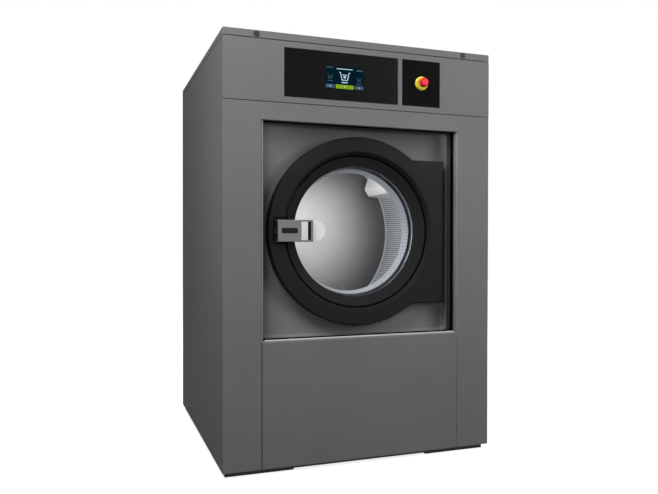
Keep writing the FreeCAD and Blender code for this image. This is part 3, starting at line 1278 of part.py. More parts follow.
doc.recompute()
troubled = [thing.Label for thing in doc.Objects if "Invalid" in thing.State or "Error" in thing.State]
if troubled:
    raise SystemExit(f"pieces that did not build: {troubled}")
os.makedirs("parts", exist_ok=True)
for piece in PARTS:
    shape = piece.Shape
    if shape.isNull() or not shape.isValid() or not shape.Solids:
        raise SystemExit(f"{piece.Label} is not a valid solid")
    shape.exportStep(f"parts/{piece.Label}.step")
print(len(PARTS), "pieces")
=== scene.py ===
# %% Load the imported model
import json
import math

import bpy
from mathutils import Matrix, Vector

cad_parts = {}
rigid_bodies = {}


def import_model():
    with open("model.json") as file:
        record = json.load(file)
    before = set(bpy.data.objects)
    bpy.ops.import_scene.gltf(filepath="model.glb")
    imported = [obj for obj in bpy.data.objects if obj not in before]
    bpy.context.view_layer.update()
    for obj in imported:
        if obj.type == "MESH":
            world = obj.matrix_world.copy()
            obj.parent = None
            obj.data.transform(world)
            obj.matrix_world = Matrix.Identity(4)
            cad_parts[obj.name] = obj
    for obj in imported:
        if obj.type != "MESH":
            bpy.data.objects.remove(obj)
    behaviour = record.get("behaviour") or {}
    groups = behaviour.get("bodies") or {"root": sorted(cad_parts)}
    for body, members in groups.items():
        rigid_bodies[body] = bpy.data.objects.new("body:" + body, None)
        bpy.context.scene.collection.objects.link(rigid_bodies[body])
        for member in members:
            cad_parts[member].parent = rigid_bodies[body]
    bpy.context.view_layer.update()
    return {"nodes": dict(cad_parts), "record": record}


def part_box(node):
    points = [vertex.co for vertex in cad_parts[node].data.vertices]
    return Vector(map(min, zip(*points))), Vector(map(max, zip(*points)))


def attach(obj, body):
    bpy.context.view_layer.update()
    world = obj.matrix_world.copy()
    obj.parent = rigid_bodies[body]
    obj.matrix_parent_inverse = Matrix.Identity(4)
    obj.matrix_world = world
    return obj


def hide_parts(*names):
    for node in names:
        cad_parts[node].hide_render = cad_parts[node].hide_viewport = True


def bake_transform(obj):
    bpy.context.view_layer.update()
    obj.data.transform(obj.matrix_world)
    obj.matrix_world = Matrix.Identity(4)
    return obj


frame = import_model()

nodes = frame["nodes"]

# %% [markdown]
# **The camera.** The machine was photographed from the height of its door, a little to its left, with a
# normal lens. A camera could be aimed with a Track To constraint, but here its place and its turn are
# known from the cabinet's corners, so the three directions of the camera are written into its matrix:
# right, up and backwards.

# %% Camera at the photograph's viewpoint
CAMERA_PLACE = Vector((-0.88477, -2.59728, 0.76572))
CAMERA_YAW, CAMERA_PITCH, CAMERA_ROLL = 0.342910, -0.0096216, 0.0014092
SENSOR_WIDTH, FOCAL_LENGTH = 36, 36.544

ahead = Vector((math.sin(CAMERA_YAW) * math.cos(CAMERA_PITCH),
                math.cos(CAMERA_YAW) * math.cos(CAMERA_PITCH),
                math.sin(CAMERA_PITCH)))
level = Vector((math.cos(CAMERA_YAW), -math.sin(CAMERA_YAW), 0))
above = level.cross(ahead)
right = level * math.cos(CAMERA_ROLL) + above * math.sin(CAMERA_ROLL)
up = above * math.cos(CAMERA_ROLL) - level * math.sin(CAMERA_ROLL)

lens = bpy.data.cameras.new("photo_lens")
lens.sensor_width = SENSOR_WIDTH
lens.lens = FOCAL_LENGTH
camera = bpy.data.objects.new("photo_camera", lens)
bpy.context.scene.collection.objects.link(camera)
turn = Matrix((right, up, -ahead)).transposed()
camera.matrix_world = Matrix.Translation(CAMERA_PLACE) @ turn.to_4x4()
bpy.context.scene.camera = camera
bpy.context.scene.view_settings.view_transform = "Standard"
print("camera at", tuple(camera.location))

# %% [markdown]
# **Floor and light.** The machine stands on a white studio floor under soft light. A floor could be made
# white with strong lamps, but that would bleach the grey paint too. Instead the floor is a mid grey that
# adds a glow only where the camera, a mirror or the glass looks at it: lit parts reach white and the
# shadow of the machine stays. The glow grows with the distance, so that no horizon shows, and for all
# other light the floor is dark, because a photograph of a single machine has little light thrown up from
# below. The large boxes on the left, in front and on the right model the front, a weak narrow one grazes
# the left side, three small lamps light the pan's two upper corners and the drum behind the glass, and
# one behind shows the rear.

# %% Tools for selections and node trees
def clear_selection():
    """Nothing is selected and no mesh is being edited."""
    if bpy.context.object and bpy.context.object.mode != "OBJECT":
        bpy.ops.object.mode_set(mode="OBJECT")
    bpy.ops.object.select_all(action="DESELECT")


def placed(name):
    """The object that was just added, named, with its place, turn and size in its mesh."""
    piece = bpy.context.object
    piece.name = name
    bpy.ops.object.transform_apply(location=True, rotation=True, scale=True)
    return piece


def new_finish(name):
    """A node material; returns it with its tree and its shader."""
    finish = bpy.data.materials.new(name)
    finish.use_nodes = True
    tree = finish.node_tree
    return finish, tree, tree.nodes["Principled BSDF"]


def calculate(tree, operation, first, second=None):
    """One step of arithmetic; the values are sockets or numbers."""
    step = tree.nodes.new("ShaderNodeMath")
    step.operation = operation
    for socket, value in zip(step.inputs, (first, second)):
        if isinstance(value, (int, float)):
            socket.default_value = value
        elif value is not None:
            tree.links.new(value, socket)
    return step.outputs[0]


def spread(tree, factor, low, high, start=0.25, end=0.75):
    """A number between two, by a factor that runs from start to end."""
    scale = tree.nodes.new("ShaderNodeMapRange")
    for socket, value in (("From Min", start), ("From Max", end), ("To Min", low), ("To Max", high)):
        scale.inputs[socket].default_value = value
    tree.links.new(factor, scale.inputs["Value"])
    return scale.outputs["Result"]


def seen_directly(tree):
    """1 where the camera, a reflection or a view through glass meets the surface, else 0."""
    path = tree.nodes.new("ShaderNodeLightPath")
    either = calculate(tree, "MAXIMUM", path.outputs["Is Camera Ray"], path.outputs["Is Glossy Ray"])
    return calculate(tree, "MAXIMUM", either, path.outputs["Is Transmission Ray"])


print("first tools ready")

# %% Studio floor
FLOOR_SIZE = 16
FLOOR_DARK, FLOOR_GREY = 0.06, 0.5
GLOW_LEAST, GLOW_MOST = 0.78, 1.0
GLOW_NEAR, GLOW_FAR = 0.9, 2.6
clear_selection()
bpy.ops.mesh.primitive_plane_add(size=1, location=(0, 0, 0))
bpy.ops.transform.resize(value=(FLOOR_SIZE, FLOOR_SIZE, 1))
floor = placed("studio_floor")
floor_white, tree, shader = new_finish("floor_white")
tree.nodes.remove(shader)
seen = seen_directly(tree)
shade = tree.nodes.new("ShaderNodeMix")
shade.data_type = "RGBA"
tree.links.new(seen, shade.inputs["Factor"])
shade.inputs["A"].default_value = (FLOOR_DARK, FLOOR_DARK, FLOOR_DARK, 1)
shade.inputs["B"].default_value = (FLOOR_GREY, FLOOR_GREY, FLOOR_GREY, 1)
matt = tree.nodes.new("ShaderNodeBsdfDiffuse")
tree.links.new(shade.outputs["Result"], matt.inputs["Color"])
where = tree.nodes.new("ShaderNodeTexCoord")
far = tree.nodes.new("ShaderNodeVectorMath")
far.operation = "LENGTH"
tree.links.new(where.outputs["Object"], far.inputs[0])
fade = spread(tree, far.outputs["Value"], GLOW_LEAST, GLOW_MOST, GLOW_NEAR, GLOW_FAR)
glow = tree.nodes.new("ShaderNodeEmission")
tree.links.new(calculate(tree, "MULTIPLY", seen, fade), glow.inputs["Strength"])
both = tree.nodes.new("ShaderNodeAddShader")
tree.links.new(matt.outputs[0], both.inputs[0])
tree.links.new(glow.outputs[0], both.inputs[1])
tree.links.new(both.outputs[0], tree.nodes["Material Output"].inputs["Surface"])
floor.data.materials.append(floor_white)
print("floor:", tuple(floor.dimensions))

# %% Studio light
SKY_LEAST, SKY_MOST = 0.06, 0.32
SKY_LOW, SKY_HIGH = -0.3, 0.9
world = bpy.data.worlds.new("studio")
bpy.context.scene.world = world
world.use_nodes = True
tree = world.node_tree
sky = tree.nodes["Background"]
sky.inputs["Color"].default_value = (1, 1, 1, 1)
direction = tree.nodes.new("ShaderNodeTexCoord")
split = tree.nodes.new("ShaderNodeSeparateXYZ")
tree.links.new(direction.outputs["Generated"], split.inputs[0])
sky_level = tree.nodes.new("ShaderNodeMix")
sky_level.data_type = "FLOAT"
tree.links.new(seen_directly(tree), sky_level.inputs["Factor"])
rise = spread(tree, split.outputs["Z"], SKY_LEAST, SKY_MOST, SKY_LOW, SKY_HIGH)
tree.links.new(rise, sky_level.inputs["A"])
sky_level.inputs["B"].default_value = 1.0
tree.links.new(sky_level.outputs["Result"], sky.inputs["Strength"])


def soft_box(name, place, aim, width, height, watts, beam=180):
    """A rectangular lamp that looks at a point; its beam opens by so many degrees."""
    light = bpy.data.lights.new(name, "AREA")
    light.shape = "RECTANGLE"
    light.size = width
    light.size_y = height
    light.energy = watts
    light.spread = math.radians(beam)
    lamp = bpy.data.objects.new(name, light)
    bpy.context.scene.collection.objects.link(lamp)
    lamp.location = place
    lamp.rotation_euler = (Vector(aim) - Vector(place)).to_track_quat("-Z", "Y").to_euler()


soft_box("left_soft_box", (-1.25, -1.5, 2.7), (-0.4, -0.3, 1.0), 1.0, 1.2, 65.5)
soft_box("front_soft_box", (-1.3, -2.9, 0.95), (0.1, -0.1, 0.8), 0.8, 0.8, 14)
soft_box("right_soft_box", (1.3, -1.9, 1.5), (0.2, -0.4, 0.8), 0.9, 1.4, 29)
soft_box("side_soft_box", (-2.0, -0.62, 1.25), (-0.49, -0.46, 1.05), 0.4, 0.9, 0.45, beam=42)
soft_box("pan_lamp", (0.0, -0.70, 1.05), (-0.31, -0.40, 1.09), 0.1, 0.1, 0.022, beam=32)
soft_box("rim_lamp", (-0.40, -0.76, 1.09), (0.350, -0.43, 1.09), 0.03, 0.12, 0.028, beam=12)
soft_box("drum_lamp", (-0.15, -0.27, 0.96), (0.25, 0.15, 0.80), 0.16, 0.16, 1.7)
soft_box("rear_soft_box", (0.7, 2.5, 2.0), (0.0, 0.4, 0.8), 1.2, 1.2, 60)

# %% [markdown]
# **How the finishes are made.** Nearly every finish is a Principled shader whose colour, roughness or
# bump varies a little over the surface, because real paint, steel and plastic are never one flat value.
# The patterns read Object coordinates, which are metres in the frame of the machine, so a scale of 1000
# is a grain of about a millimetre.

# %% Small tools for finishes
def own_place(tree, shift=(0, 0, 0), stretch=(1, 1, 1)):
    """The piece's own coordinates, moved and stretched."""
    place = tree.nodes.new("ShaderNodeTexCoord")
    mapping = tree.nodes.new("ShaderNodeMapping")
    mapping.inputs["Location"].default_value = shift
    mapping.inputs["Scale"].default_value = stretch
    tree.links.new(place.outputs["Object"], mapping.inputs["Vector"])
    return mapping.outputs["Vector"]


def grain(tree, scale, detail=2.0, stretch=(1, 1, 1), vector=None):
    """A noise from 0 to 1."""
    noise = tree.nodes.new("ShaderNodeTexNoise")
    noise.inputs["Scale"].default_value = scale
    noise.inputs["Detail"].default_value = detail
    tree.links.new(vector or own_place(tree, stretch=stretch), noise.inputs["Vector"])
    return noise.outputs[0]


def tint(tree, factor, first, last, low=0.3, high=0.7):
    """A colour between two, by a factor that runs from low to high."""
    ramp = tree.nodes.new("ShaderNodeValToRGB")
    ramp.color_ramp.elements[0].position = low
    ramp.color_ramp.elements[0].color = (*first, 1)
    ramp.color_ramp.elements[1].position = high
    ramp.color_ramp.elements[1].color = (*last, 1)
    tree.links.new(factor, ramp.inputs["Fac"])
    return ramp.outputs["Color"]


def cloudy(tree, factor, colour, cloud):
    """A colour that is a share darker or lighter, by a factor."""
    return tint(tree, factor, [channel * (1 - cloud) for channel in colour],
                [channel * (1 + cloud) for channel in colour])


def relief(tree, factor, height):
    """A bump of so many metres."""
    bump = tree.nodes.new("ShaderNodeBump")
    bump.inputs["Strength"].default_value = 1.0
    bump.inputs["Distance"].default_value = height
    tree.links.new(factor, bump.inputs["Height"])
    return bump.outputs["Normal"]


print("finish tools ready")

# %% [markdown]
# **Powder coat.** The cabinet is sheet steel with a grey powder coat: matt, with a fine orange peel and a
# very soft cloudiness. Three noises are enough: a broad one for the colour, a medium one for the
# roughness and a fine one for the bump. The same recipe, with other numbers, gives the dark base and the
# black door plastic.

# %% Coats and moulded plastics
CLOUD_SCALE, ROUGH_SCALE = 5.0, 60.0


def coat(name, colour, cloud, rough, peel, height, specular=0.5, metallic=0.0):
    """Paint or moulded plastic: colour, how much it clouds, roughness span, grain scale and depth."""
    finish, tree, shader = new_finish(name)
    tree.links.new(cloudy(tree, grain(tree, CLOUD_SCALE, 4), colour, cloud), shader.inputs["Base Color"])
    tree.links.new(spread(tree, grain(tree, ROUGH_SCALE, 3), *rough), shader.inputs["Roughness"])
    tree.links.new(relief(tree, grain(tree, peel, 2), height), shader.inputs["Normal"])
    shader.inputs["Specular IOR Level"].default_value = specular
    shader.inputs["Metallic"].default_value = metallic
    return finish


finishes = {
    "cabinet_paint": coat("grey_powder_coat", (0.125, 0.126, 0.128), 0.035, (0.52, 0.62),
                          700, 0.00004, 0.004),
    "pan_paint": coat("pan_powder_coat", (0.145, 0.146, 0.148), 0.035, (0.52, 0.62), 700, 0.00004, 0.004),
    "base_paint": coat("dark_base_coat", (0.028, 0.028, 0.030), 0.10, (0.55, 0.70), 500, 0.00008, 0.3),
    "frame_paint": coat("black_frame_coat", (0.012, 0.012, 0.013), 0.10, (0.45, 0.60), 600, 0.00005, 0.3),
    "handle_paint": coat("handle_powder_coat", (0.135, 0.135, 0.138), 0.03, (0.45, 0.55),
                         900, 0.00003, 0.2),
    "black_rubber": coat("black_rubber", (0.014, 0.014, 0.014), 0.15, (0.65, 0.85), 900, 0.00006, 0.25),
    "black_plastic": coat("black_moulded_plastic", (0.0085, 0.0085, 0.009), 0.08, (0.46, 0.56),
                          1400, 0.00003, 0.06),
    "cast_metal": coat("cast_grey_iron", (0.10, 0.10, 0.105), 0.2, (0.55, 0.8), 260, 0.0003, 0.4, 0.6),
    "alloy": coat("cast_alloy", (0.52, 0.52, 0.53), 0.06, (0.35, 0.5), 400, 0.0001, 0.5, 1.0),
    "stop_yellow": coat("yellow_plastic", (0.62, 0.50, 0.045), 0.04, (0.30, 0.40), 1200, 0.00002, 0.12),
    "stop_red": coat("red_plastic", (0.57, 0.012, 0.026), 0.05, (0.24, 0.34), 1200, 0.00002, 0.14),
    "screen": coat("dark_screen_module", (0.015, 0.02, 0.024), 0.1, (0.3, 0.4), 1000, 0.00002, 0.3),
}
print("coats:", len(finishes))

# %% [markdown]
# **Control glass.** The two control panels are black glass over a printed back, so they are almost black
# and a little smudged. A real sheet reflects about four percent; the etched front of a touch panel
# reflects less.

# %% Black control glass
finish, tree, shader = new_finish("black_control_glass")
tree.links.new(tint(tree, grain(tree, 3.0, 2), (0.0052, 0.0052, 0.0055), (0.0064, 0.0064, 0.0067)),
               shader.inputs["Base Color"])
tree.links.new(spread(tree, grain(tree, 26.0, 5), 0.26, 0.38), shader.inputs["Roughness"])
shader.inputs["Specular IOR Level"].default_value = 0.02
finishes["black_glass"] = finish
print("finish:", finish.name)

# %% [markdown]
# **Porthole glass.** The glass bowl has to let the studio light into the drum. A refracting glass shader
# would stop most of that light, so the bowl mixes a clear pass-through with a sharp reflection, more of
# it at grazing angles.

# %% Clear porthole glass
finish, tree, shader = new_finish("clear_porthole_glass")
tree.nodes.remove(shader)
clear = tree.nodes.new("ShaderNodeBsdfTransparent")
tree.links.new(tint(tree, grain(tree, 4.0, 2), (0.972, 0.974, 0.974), (0.984, 0.986, 0.986)),
               clear.inputs["Color"])
gloss = tree.nodes.new("ShaderNodeBsdfGlossy")
gloss.inputs["Roughness"].default_value = 0.02
edge = tree.nodes.new("ShaderNodeLayerWeight")
edge.inputs["Blend"].default_value = 0.06
mix = tree.nodes.new("ShaderNodeMixShader")
tree.links.new(spread(tree, edge.outputs["Fresnel"], 0.0, 0.08, 0.02, 1.0), mix.inputs["Fac"])
tree.links.new(clear.outputs[0], mix.inputs[1])
tree.links.new(gloss.outputs[0], mix.inputs[2])
tree.links.new(mix.outputs[0], tree.nodes["Material Output"].inputs["Surface"])
finishes["clear_glass"] = finish
print("finish:", finish.name)

# %% [markdown]
# ** Stainless steel.** Sheet steel is rolled, so its brush lines run one way: the noise is squeezed across
# the lines and stretched along them. On turned pieces the lines run round the axis, so the pattern reads
# the distance from the axis, and the sine and cosine of the angle keep it free of a seam. The drum's rear
# disc carries painted shade: its colour falls from a bright middle to nearly black at the rim, with the
# distance from the axis.

# %% Brushed and turned steel
AXIS_HEIGHT = 0.798
BRUSH_SHADE = 0.90
RING_SCALE, ROUND_SCALE = 420.0, 0.8
# Painted shade on the drum's rear disc: from this reach outwards its colour darkens to nearly black at the
# rim.
WORN_TO, DULL_FROM, WEAR_BLUR = 0.06, 0.385, 0.006


def steel(name, colour, rough, stretch, scale=60, lines=0.00002):
    """Brushed metal; the lines run along the axis that is stretched least."""
    finish, tree, shader = new_finish(name)
    brush = grain(tree, scale, 3, stretch)
    dark = [channel * BRUSH_SHADE for channel in colour]
    tree.links.new(tint(tree, brush, dark, colour), shader.inputs["Base Color"])
    tree.links.new(spread(tree, brush, *rough), shader.inputs["Roughness"])
    tree.links.new(relief(tree, brush, lines), shader.inputs["Normal"])
    shader.inputs["Metallic"].default_value = 1.0
    return finish


def diagonal(tree, first, second):
    """The length of two sides at a right angle, taken together."""
    squares = [calculate(tree, "MULTIPLY", side, side) for side in (first, second)]
    return calculate(tree, "SQRT", calculate(tree, "ADD", *squares))


def from_axis(tree):
    """The place across, along and above the drum's axis, as three sockets."""
    split = tree.nodes.new("ShaderNodeSeparateXYZ")
    tree.links.new(own_place(tree, shift=(0, 0, -AXIS_HEIGHT)), split.inputs[0])
    return split.outputs


finishes["stainless"] = steel("stainless_sheet", (0.56, 0.56, 0.555), (0.40, 0.48), (1, 12, 12))
finishes["bright_steel"] = steel("bright_turned_steel", (0.55, 0.55, 0.55), (0.22, 0.32), (8, 8, 1))

turned_steel, tree, shader = new_finish("turned_drum_steel")
place = from_axis(tree)
across, height = place["X"], place["Z"]
reach = diagonal(tree, across, height)
rings = tree.nodes.new("ShaderNodeCombineXYZ")
tree.links.new(calculate(tree, "MULTIPLY", reach, RING_SCALE), rings.inputs["X"])
for socket, side in (("Y", across), ("Z", height)):
    share = calculate(tree, "DIVIDE", side, reach)
    tree.links.new(calculate(tree, "MULTIPLY", share, ROUND_SCALE), rings.inputs[socket])
brush = grain(tree, 1.0, 2, vector=rings.outputs[0])
# Painted shade: the disc's colour falls with the distance from the axis, its edge blurred by the brush
# noise.
worn = calculate(tree, "ADD", reach, spread(tree, brush, -WEAR_BLUR, WEAR_BLUR))
bright = tint(tree, worn, (0.765, 0.752, 0.732), (0.09, 0.089, 0.089), WORN_TO, DULL_FROM)
bright.node.color_ramp.interpolation = "EASE"
tree.links.new(bright, shader.inputs["Base Color"])
tree.links.new(spread(tree, brush, 0.46, 0.54), shader.inputs["Roughness"])
tree.links.new(relief(tree, brush, 0.00001), shader.inputs["Normal"])
shader.inputs["Metallic"].default_value = 0.4
print("steels:", finishes["stainless"].name, finishes["bright_steel"].name, turned_steel.name)

# %% [markdown]
# ** Perforated drum wall.** The drum has thousands of drain holes in rows along its length. Cutting them
# would cost more faces than the whole machine, so the finish draws them: the angle and the length are cut
# into cells, and each cell has a round hole with a slightly dished rim, coloured dark as painted shade of
# the gap behind it. The bright neck in front of the wall gets a painted reflection of the rows: with paler
# spots the same recipe draws that too.

# %% Perforated steel and the neck's painted reflection
HOLE_ROWS, ROW_PITCH, HOLE_PITCH = 257, 0.0092, 0.0054
HOLE_EDGE, RIM_INSIDE, RIM_OUTSIDE = 0.0003, 0.0004, 0.0006
WALL_FIRST, WALL_LAST = -0.306, 0.156
NECK_FIRST, NECK_LAST = -0.40, -0.30


def perforated(name, first, last, sheet, spot, radius, dish):
    """Steel with rows of round spots between two places along the drum's axis: on the drum wall holes
    coloured dark as painted shade, on the neck paler spots as a painted reflection.
    """
    finish, tree, shader = new_finish(name)
    across, along, height = from_axis(tree)
    angle = calculate(tree, "ARCTAN2", across, height)
    row = calculate(tree, "MULTIPLY", angle, HOLE_ROWS / (2 * math.pi))
    step = calculate(tree, "DIVIDE", along, HOLE_PITCH)
    offsets = []
    for cell, pitch in ((row, ROW_PITCH), (step, HOLE_PITCH)):
        share = calculate(tree, "SUBTRACT", calculate(tree, "FRACT", cell), 0.5)
        offsets.append(calculate(tree, "MULTIPLY", share, pitch))
    away = diagonal(tree, *offsets)
    hole = spread(tree, away, 1.0, 0.0, radius - HOLE_EDGE, radius + HOLE_EDGE)
    from_middle = calculate(tree, "ABSOLUTE", calculate(tree, "SUBTRACT", along, (first + last) / 2))
    inside = calculate(tree, "LESS_THAN", from_middle, (last - first) / 2)
    drilled = calculate(tree, "MULTIPLY", hole, inside)
    # The spots take the second colour: painted shade in the wall's holes, a painted reflection on the neck.
    tree.links.new(tint(tree, drilled, sheet, spot, 0.0, 1.0), shader.inputs["Base Color"])
    tree.links.new(spread(tree, drilled, 0.25, 0.0, 0.0, 1.0), shader.inputs["Metallic"])
    tree.links.new(spread(tree, grain(tree, 40, 3), 0.34, 0.44), shader.inputs["Roughness"])
    rim = spread(tree, away, 0.0, 1.0, radius - RIM_INSIDE, radius + RIM_OUTSIDE)
    tree.links.new(relief(tree, rim, dish), shader.inputs["Normal"])
    return finish


# The wall's holes are real; their dark colour is painted shade of the gap behind them.
perforated_steel = perforated("perforated_drum_steel", WALL_FIRST, WALL_LAST,
                              (0.70, 0.725, 0.765), (0.02, 0.023, 0.03), 0.0024, 0.0003)
# The neck's spots are a painted reflection of the wall's holes.
neck_steel = perforated("neck_steel_painted_reflection", NECK_FIRST, NECK_LAST,
                        (0.50, 0.525, 0.56), (0.13, 0.14, 0.16), 0.0028, 0.00002)
print("holes drawn:", HOLE_ROWS * int((WALL_LAST - WALL_FIRST) / HOLE_PITCH))

# %% [markdown]
# **Dressing the CAD pieces.** Every CAD node names a material slot. Each slot has one finish, and the few
# pieces that need their own, such as the drum, are named beside it.

# %% Finishes on the CAD pieces
own_finish = {
    "drum_wall": perforated_steel,
    "drum_back": turned_steel,
    "drum_front": neck_steel,
    "tub_shell": coat("pickled_tub_steel", (0.16, 0.16, 0.155), 0.12, (0.55, 0.7), 300, 0.00005, 0.4, 0.8),
    "drum_lifters": coat("pressed_lifter_steel", (0.93, 0.92, 0.91), 0.03, (0.36, 0.46),
                         500, 0.00003, 0.5, 0.05),
    "handle_backplate": coat("satin_backplate_steel", (0.49, 0.49, 0.49), 0.02, (0.42, 0.50),
                             900, 0.00002, 0.3, 0.3),
    "top_cover_caps": coat("grey_cap_plastic", (0.030, 0.030, 0.031), 0.05, (0.50, 0.60),
                           900, 0.00003, 0.1),
    "estop_glass": coat("black_stop_panel", (0.0036, 0.0036, 0.0039), 0.08, (0.34, 0.44),
                        900, 0.00001, 0.008),
    "tub_front": coat("polished_collar_steel", (0.58, 0.61, 0.65), 0.02, (0.20, 0.28),
                      500, 0.00001, 0.5, 1.0),
}
for row in frame["record"]["subparts"]:
    name = row["node"]
    piece = nodes[name]
    piece.data.materials.clear()
    piece.data.materials.append(own_finish.get(name, finishes[row["material_slot"]]))

# %% [markdown]
# **Modelling tools.** Every new piece from here on starts as a primitive at its size and place, and is
# then edited as by hand. An operator works on all that is selected, so each tool clears the selection
# first, and picks faces or edges by where they are or which way they look.

# %% Tools for selecting
X, Y, Z = range(3)
CLOSE, FACING = 0.0001, 0.9


def make_active(piece):
    """Only this piece is selected, in object mode."""
    clear_selection()
    piece.select_set(True)
    bpy.context.view_layer.objects.active = piece


def pick(piece, faces=None, edges=None):
    """Edit mode, with the faces or the edges selected that pass a test."""
    make_active(piece)
    mesh = piece.data
    for things in (mesh.vertices, mesh.edges, mesh.polygons):
        things.foreach_set("select", [False] * len(things))
    if faces:
        bpy.context.tool_settings.mesh_select_mode = (False, False, True)
        for face in mesh.polygons:
            face.select = faces(face.center, face.normal)
    else:
        bpy.context.tool_settings.mesh_select_mode = (False, True, False)
        for edge in mesh.edges:
            edge.select = edges(*(mesh.vertices[corner].co for corner in edge.vertices))
    bpy.ops.object.mode_set(mode="EDIT")


def every_face(centre, normal):
    """A test that all faces pass."""
    return True


def faces_looking(axis, way):
    """A test for faces that look along an axis, forwards or backwards."""
    return lambda centre, normal: normal[axis] * way > FACING


def faces_at(x, z):
    """A test for faces whose middle, seen from the front, is at a place."""
    return lambda centre, normal: max(abs(centre.x - x), abs(centre.z - z)) < CLOSE


def edges_along(axis):
    """A test for edges of a slab that run along an axis."""
    return lambda one, other: abs(one[axis] - other[axis]) > CLOSE


def edges_at(axis, place):
    """A test for edges that lie at one place of an axis."""
    return lambda one, other: max(abs(one[axis] - place), abs(other[axis] - place)) < CLOSE


print("selecting tools ready")

# %% Tools for modelling by hand
SMOOTH_ANGLE = math.radians(35)


def span(start, near, far):
    """Two places, measured from a start."""
    return start + near, start + far


def slab(name, *spans):
    """A box between two places across, two in depth and two in height, as a start."""
    clear_selection()
    bpy.ops.mesh.primitive_cube_add(size=1, location=[(low + high) / 2 for low, high in spans],
                                    scale=[high - low for low, high in spans])
    return placed(name)


def round_edges(piece, edges, offset, segments):
    """The edges that pass a test are rounded off."""
    pick(piece, edges=edges)
    bpy.ops.mesh.bevel(offset=offset, segments=segments, affect="EDGES")


def face_outwards():
    """The normals of the mesh that is being edited point outwards."""
    bpy.ops.mesh.select_all(action="SELECT")
    bpy.ops.mesh.normals_make_consistent(inside=False)


def thicken(piece, depth):
    """A flat shape is pulled along y into a closed body."""
    pick(piece, faces=every_face)
    bpy.ops.mesh.extrude_region_move(TRANSFORM_OT_translate={"value": (0, depth, 0)})
    face_outwards()


def join(name, parts):
    """One piece out of several."""
    make_active(parts[0])
    for part in parts:
        part.select_set(True)
    bpy.ops.object.join()
    parts[0].name = name
    return parts[0]


def settle(piece, body, finish):
    """The piece is done: smooth where it is round, finished, and riding on its body."""
    make_active(piece)
    bpy.ops.object.transform_apply(location=True, rotation=True, scale=True)
    bpy.ops.object.shade_smooth_by_angle(angle=SMOOTH_ANGLE)
    piece.data.materials.clear()
    piece.data.materials.append(finish)
    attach(piece, body)


print("modelling tools ready")

# %% [markdown]
# **The touchscreen's picture.** A lit display shows plain shapes: a wash tub in the middle, dimmer ones
# beside it and three buttons below. A picture could be an image texture, but thin plates on the glass
# stay sharp from any distance and need no file. Their finish glows a little, as a display does, and
# clouds by a few percent, because the lamp behind a display is never quite even.

# %% Lit display finishes
SCREEN_LEFT, SCREEN_TOP, SCREEN_WIDE, SCREEN_HIGH = -0.145, 1.352, 0.139, 0.077
GLASS_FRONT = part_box("display_glass")[0][1]
SCREEN_CLOUD = 0.02


def lit(name, colour, glow):
    """A display colour that glows."""
    finish, tree, shader = new_finish(name)
    shown = cloudy(tree, grain(tree, 60, 2), colour, SCREEN_CLOUD)
    tree.links.new(shown, shader.inputs["Base Color"])
    tree.links.new(shown, shader.inputs["Emission Color"])
    shader.inputs["Emission Strength"].default_value = glow
    shader.inputs["Roughness"].default_value = 0.3
    shader.inputs["Specular IOR Level"].default_value = 0.0
    return finish


screen_blue = lit("screen_blue", (0.0005, 0.005, 0.009), 0.8)
screen_white = lit("screen_white", (0.30, 0.40, 0.46), 0.6)
screen_dim = lit("screen_dim", (0.030, 0.055, 0.070), 0.6)
screen_green = lit("screen_green", (0.10, 0.17, 0.006), 0.7)
screen_slate = lit("screen_slate", (0.030, 0.045, 0.075), 0.6)
print("display front at", GLASS_FRONT)

# %% Screen plates and buttons
THIN, BUTTON_THICK = 0.0003, 0.0006
PLATE_EDGE, PLATE_RISE = 0.3, 0.2


def screen_point(across, down, lift):
    """A point of the screen: to the right and down, both from 0 to 1, and so far in front of the glass."""
    return SCREEN_LEFT + across * SCREEN_WIDE, GLASS_FRONT - lift, SCREEN_TOP - down * SCREEN_HIGH


def plate(name, across, down, lift, thick, finish, round_off):
    """A thin plate on the screen with rounded corners and a soft front edge."""
    low = screen_point(across[0], down[1], lift + thick)
    high = screen_point(across[1], down[0], lift)
    piece = slab(name, *zip(low, high))
    round_edges(piece, edges_along(Y), round_off, segments=4)
    pick(piece, faces=faces_looking(Y, -1))
    bpy.ops.mesh.inset(thickness=round_off * PLATE_EDGE, depth=thick * PLATE_RISE)
    settle(piece, "cabinet", finish)


plate("screen_back", (0, 1), (0, 1), 0.0, THIN, screen_blue, 0.001)
for name, across, down, finish in (
        ("screen_head_left", (0.02, 0.20), (0.045, 0.085), screen_dim),
        ("screen_head_bar", (0.29, 0.71), (0.092, 0.122), screen_white),
        ("screen_head_right", (0.81, 0.97), (0.10, 0.16), screen_dim),
        ("screen_mark_middle", (0.42, 0.58), (0.675, 0.710), screen_white),
        ("screen_mark_left", (0.05, 0.20), (0.640, 0.665), screen_dim),
        ("screen_mark_right", (0.80, 0.95), (0.700, 0.725), screen_dim)):
    plate(name, across, down, THIN, THIN, finish, 0.0005)
for name, across, down, finish in (
        ("screen_button_start", (0.265, 0.735), (0.795, 0.970), screen_green),
        ("screen_button_back", (0.01, 0.235), (0.795, 0.965), screen_slate),
        ("screen_button_next", (0.765, 0.99), (0.795, 0.965), screen_slate)):
    plate(name, across, down, THIN, BUTTON_THICK, finish, 0.0015)

# %% [markdown]
# **Wash tubs and arrows.** The tubs on the screen are outlines, so each starts as a plane: its foot is
# drawn in, an inset makes the outline, the middle and the top are taken out, and what is left is pulled
# out to a thin body. Slabs give it two brims, a water line and the laundry. An arrow is a triangle that
# is pulled out.

# %% Wash tubs and arrows on the screen
TUB_LIFT, TUB_SQUAT, TUB_FOOT, TUB_OPEN = 0.0004, 0.8, 0.66, 0.2
BRIM_X, BRIM_REACH, BRIM_TOP, BRIM_TILT = 0.5, 0.09, 0.40, 0.05
WATER_REACH, WATER_UP, WATER_STROKE = 0.26, 0.13, 0.8
LAUNDRY_REACH, LAUNDRY_LOW, LAUNDRY_TOP, LAUNDRY_ROUND = 0.13, 0.16, 0.03, 0.06


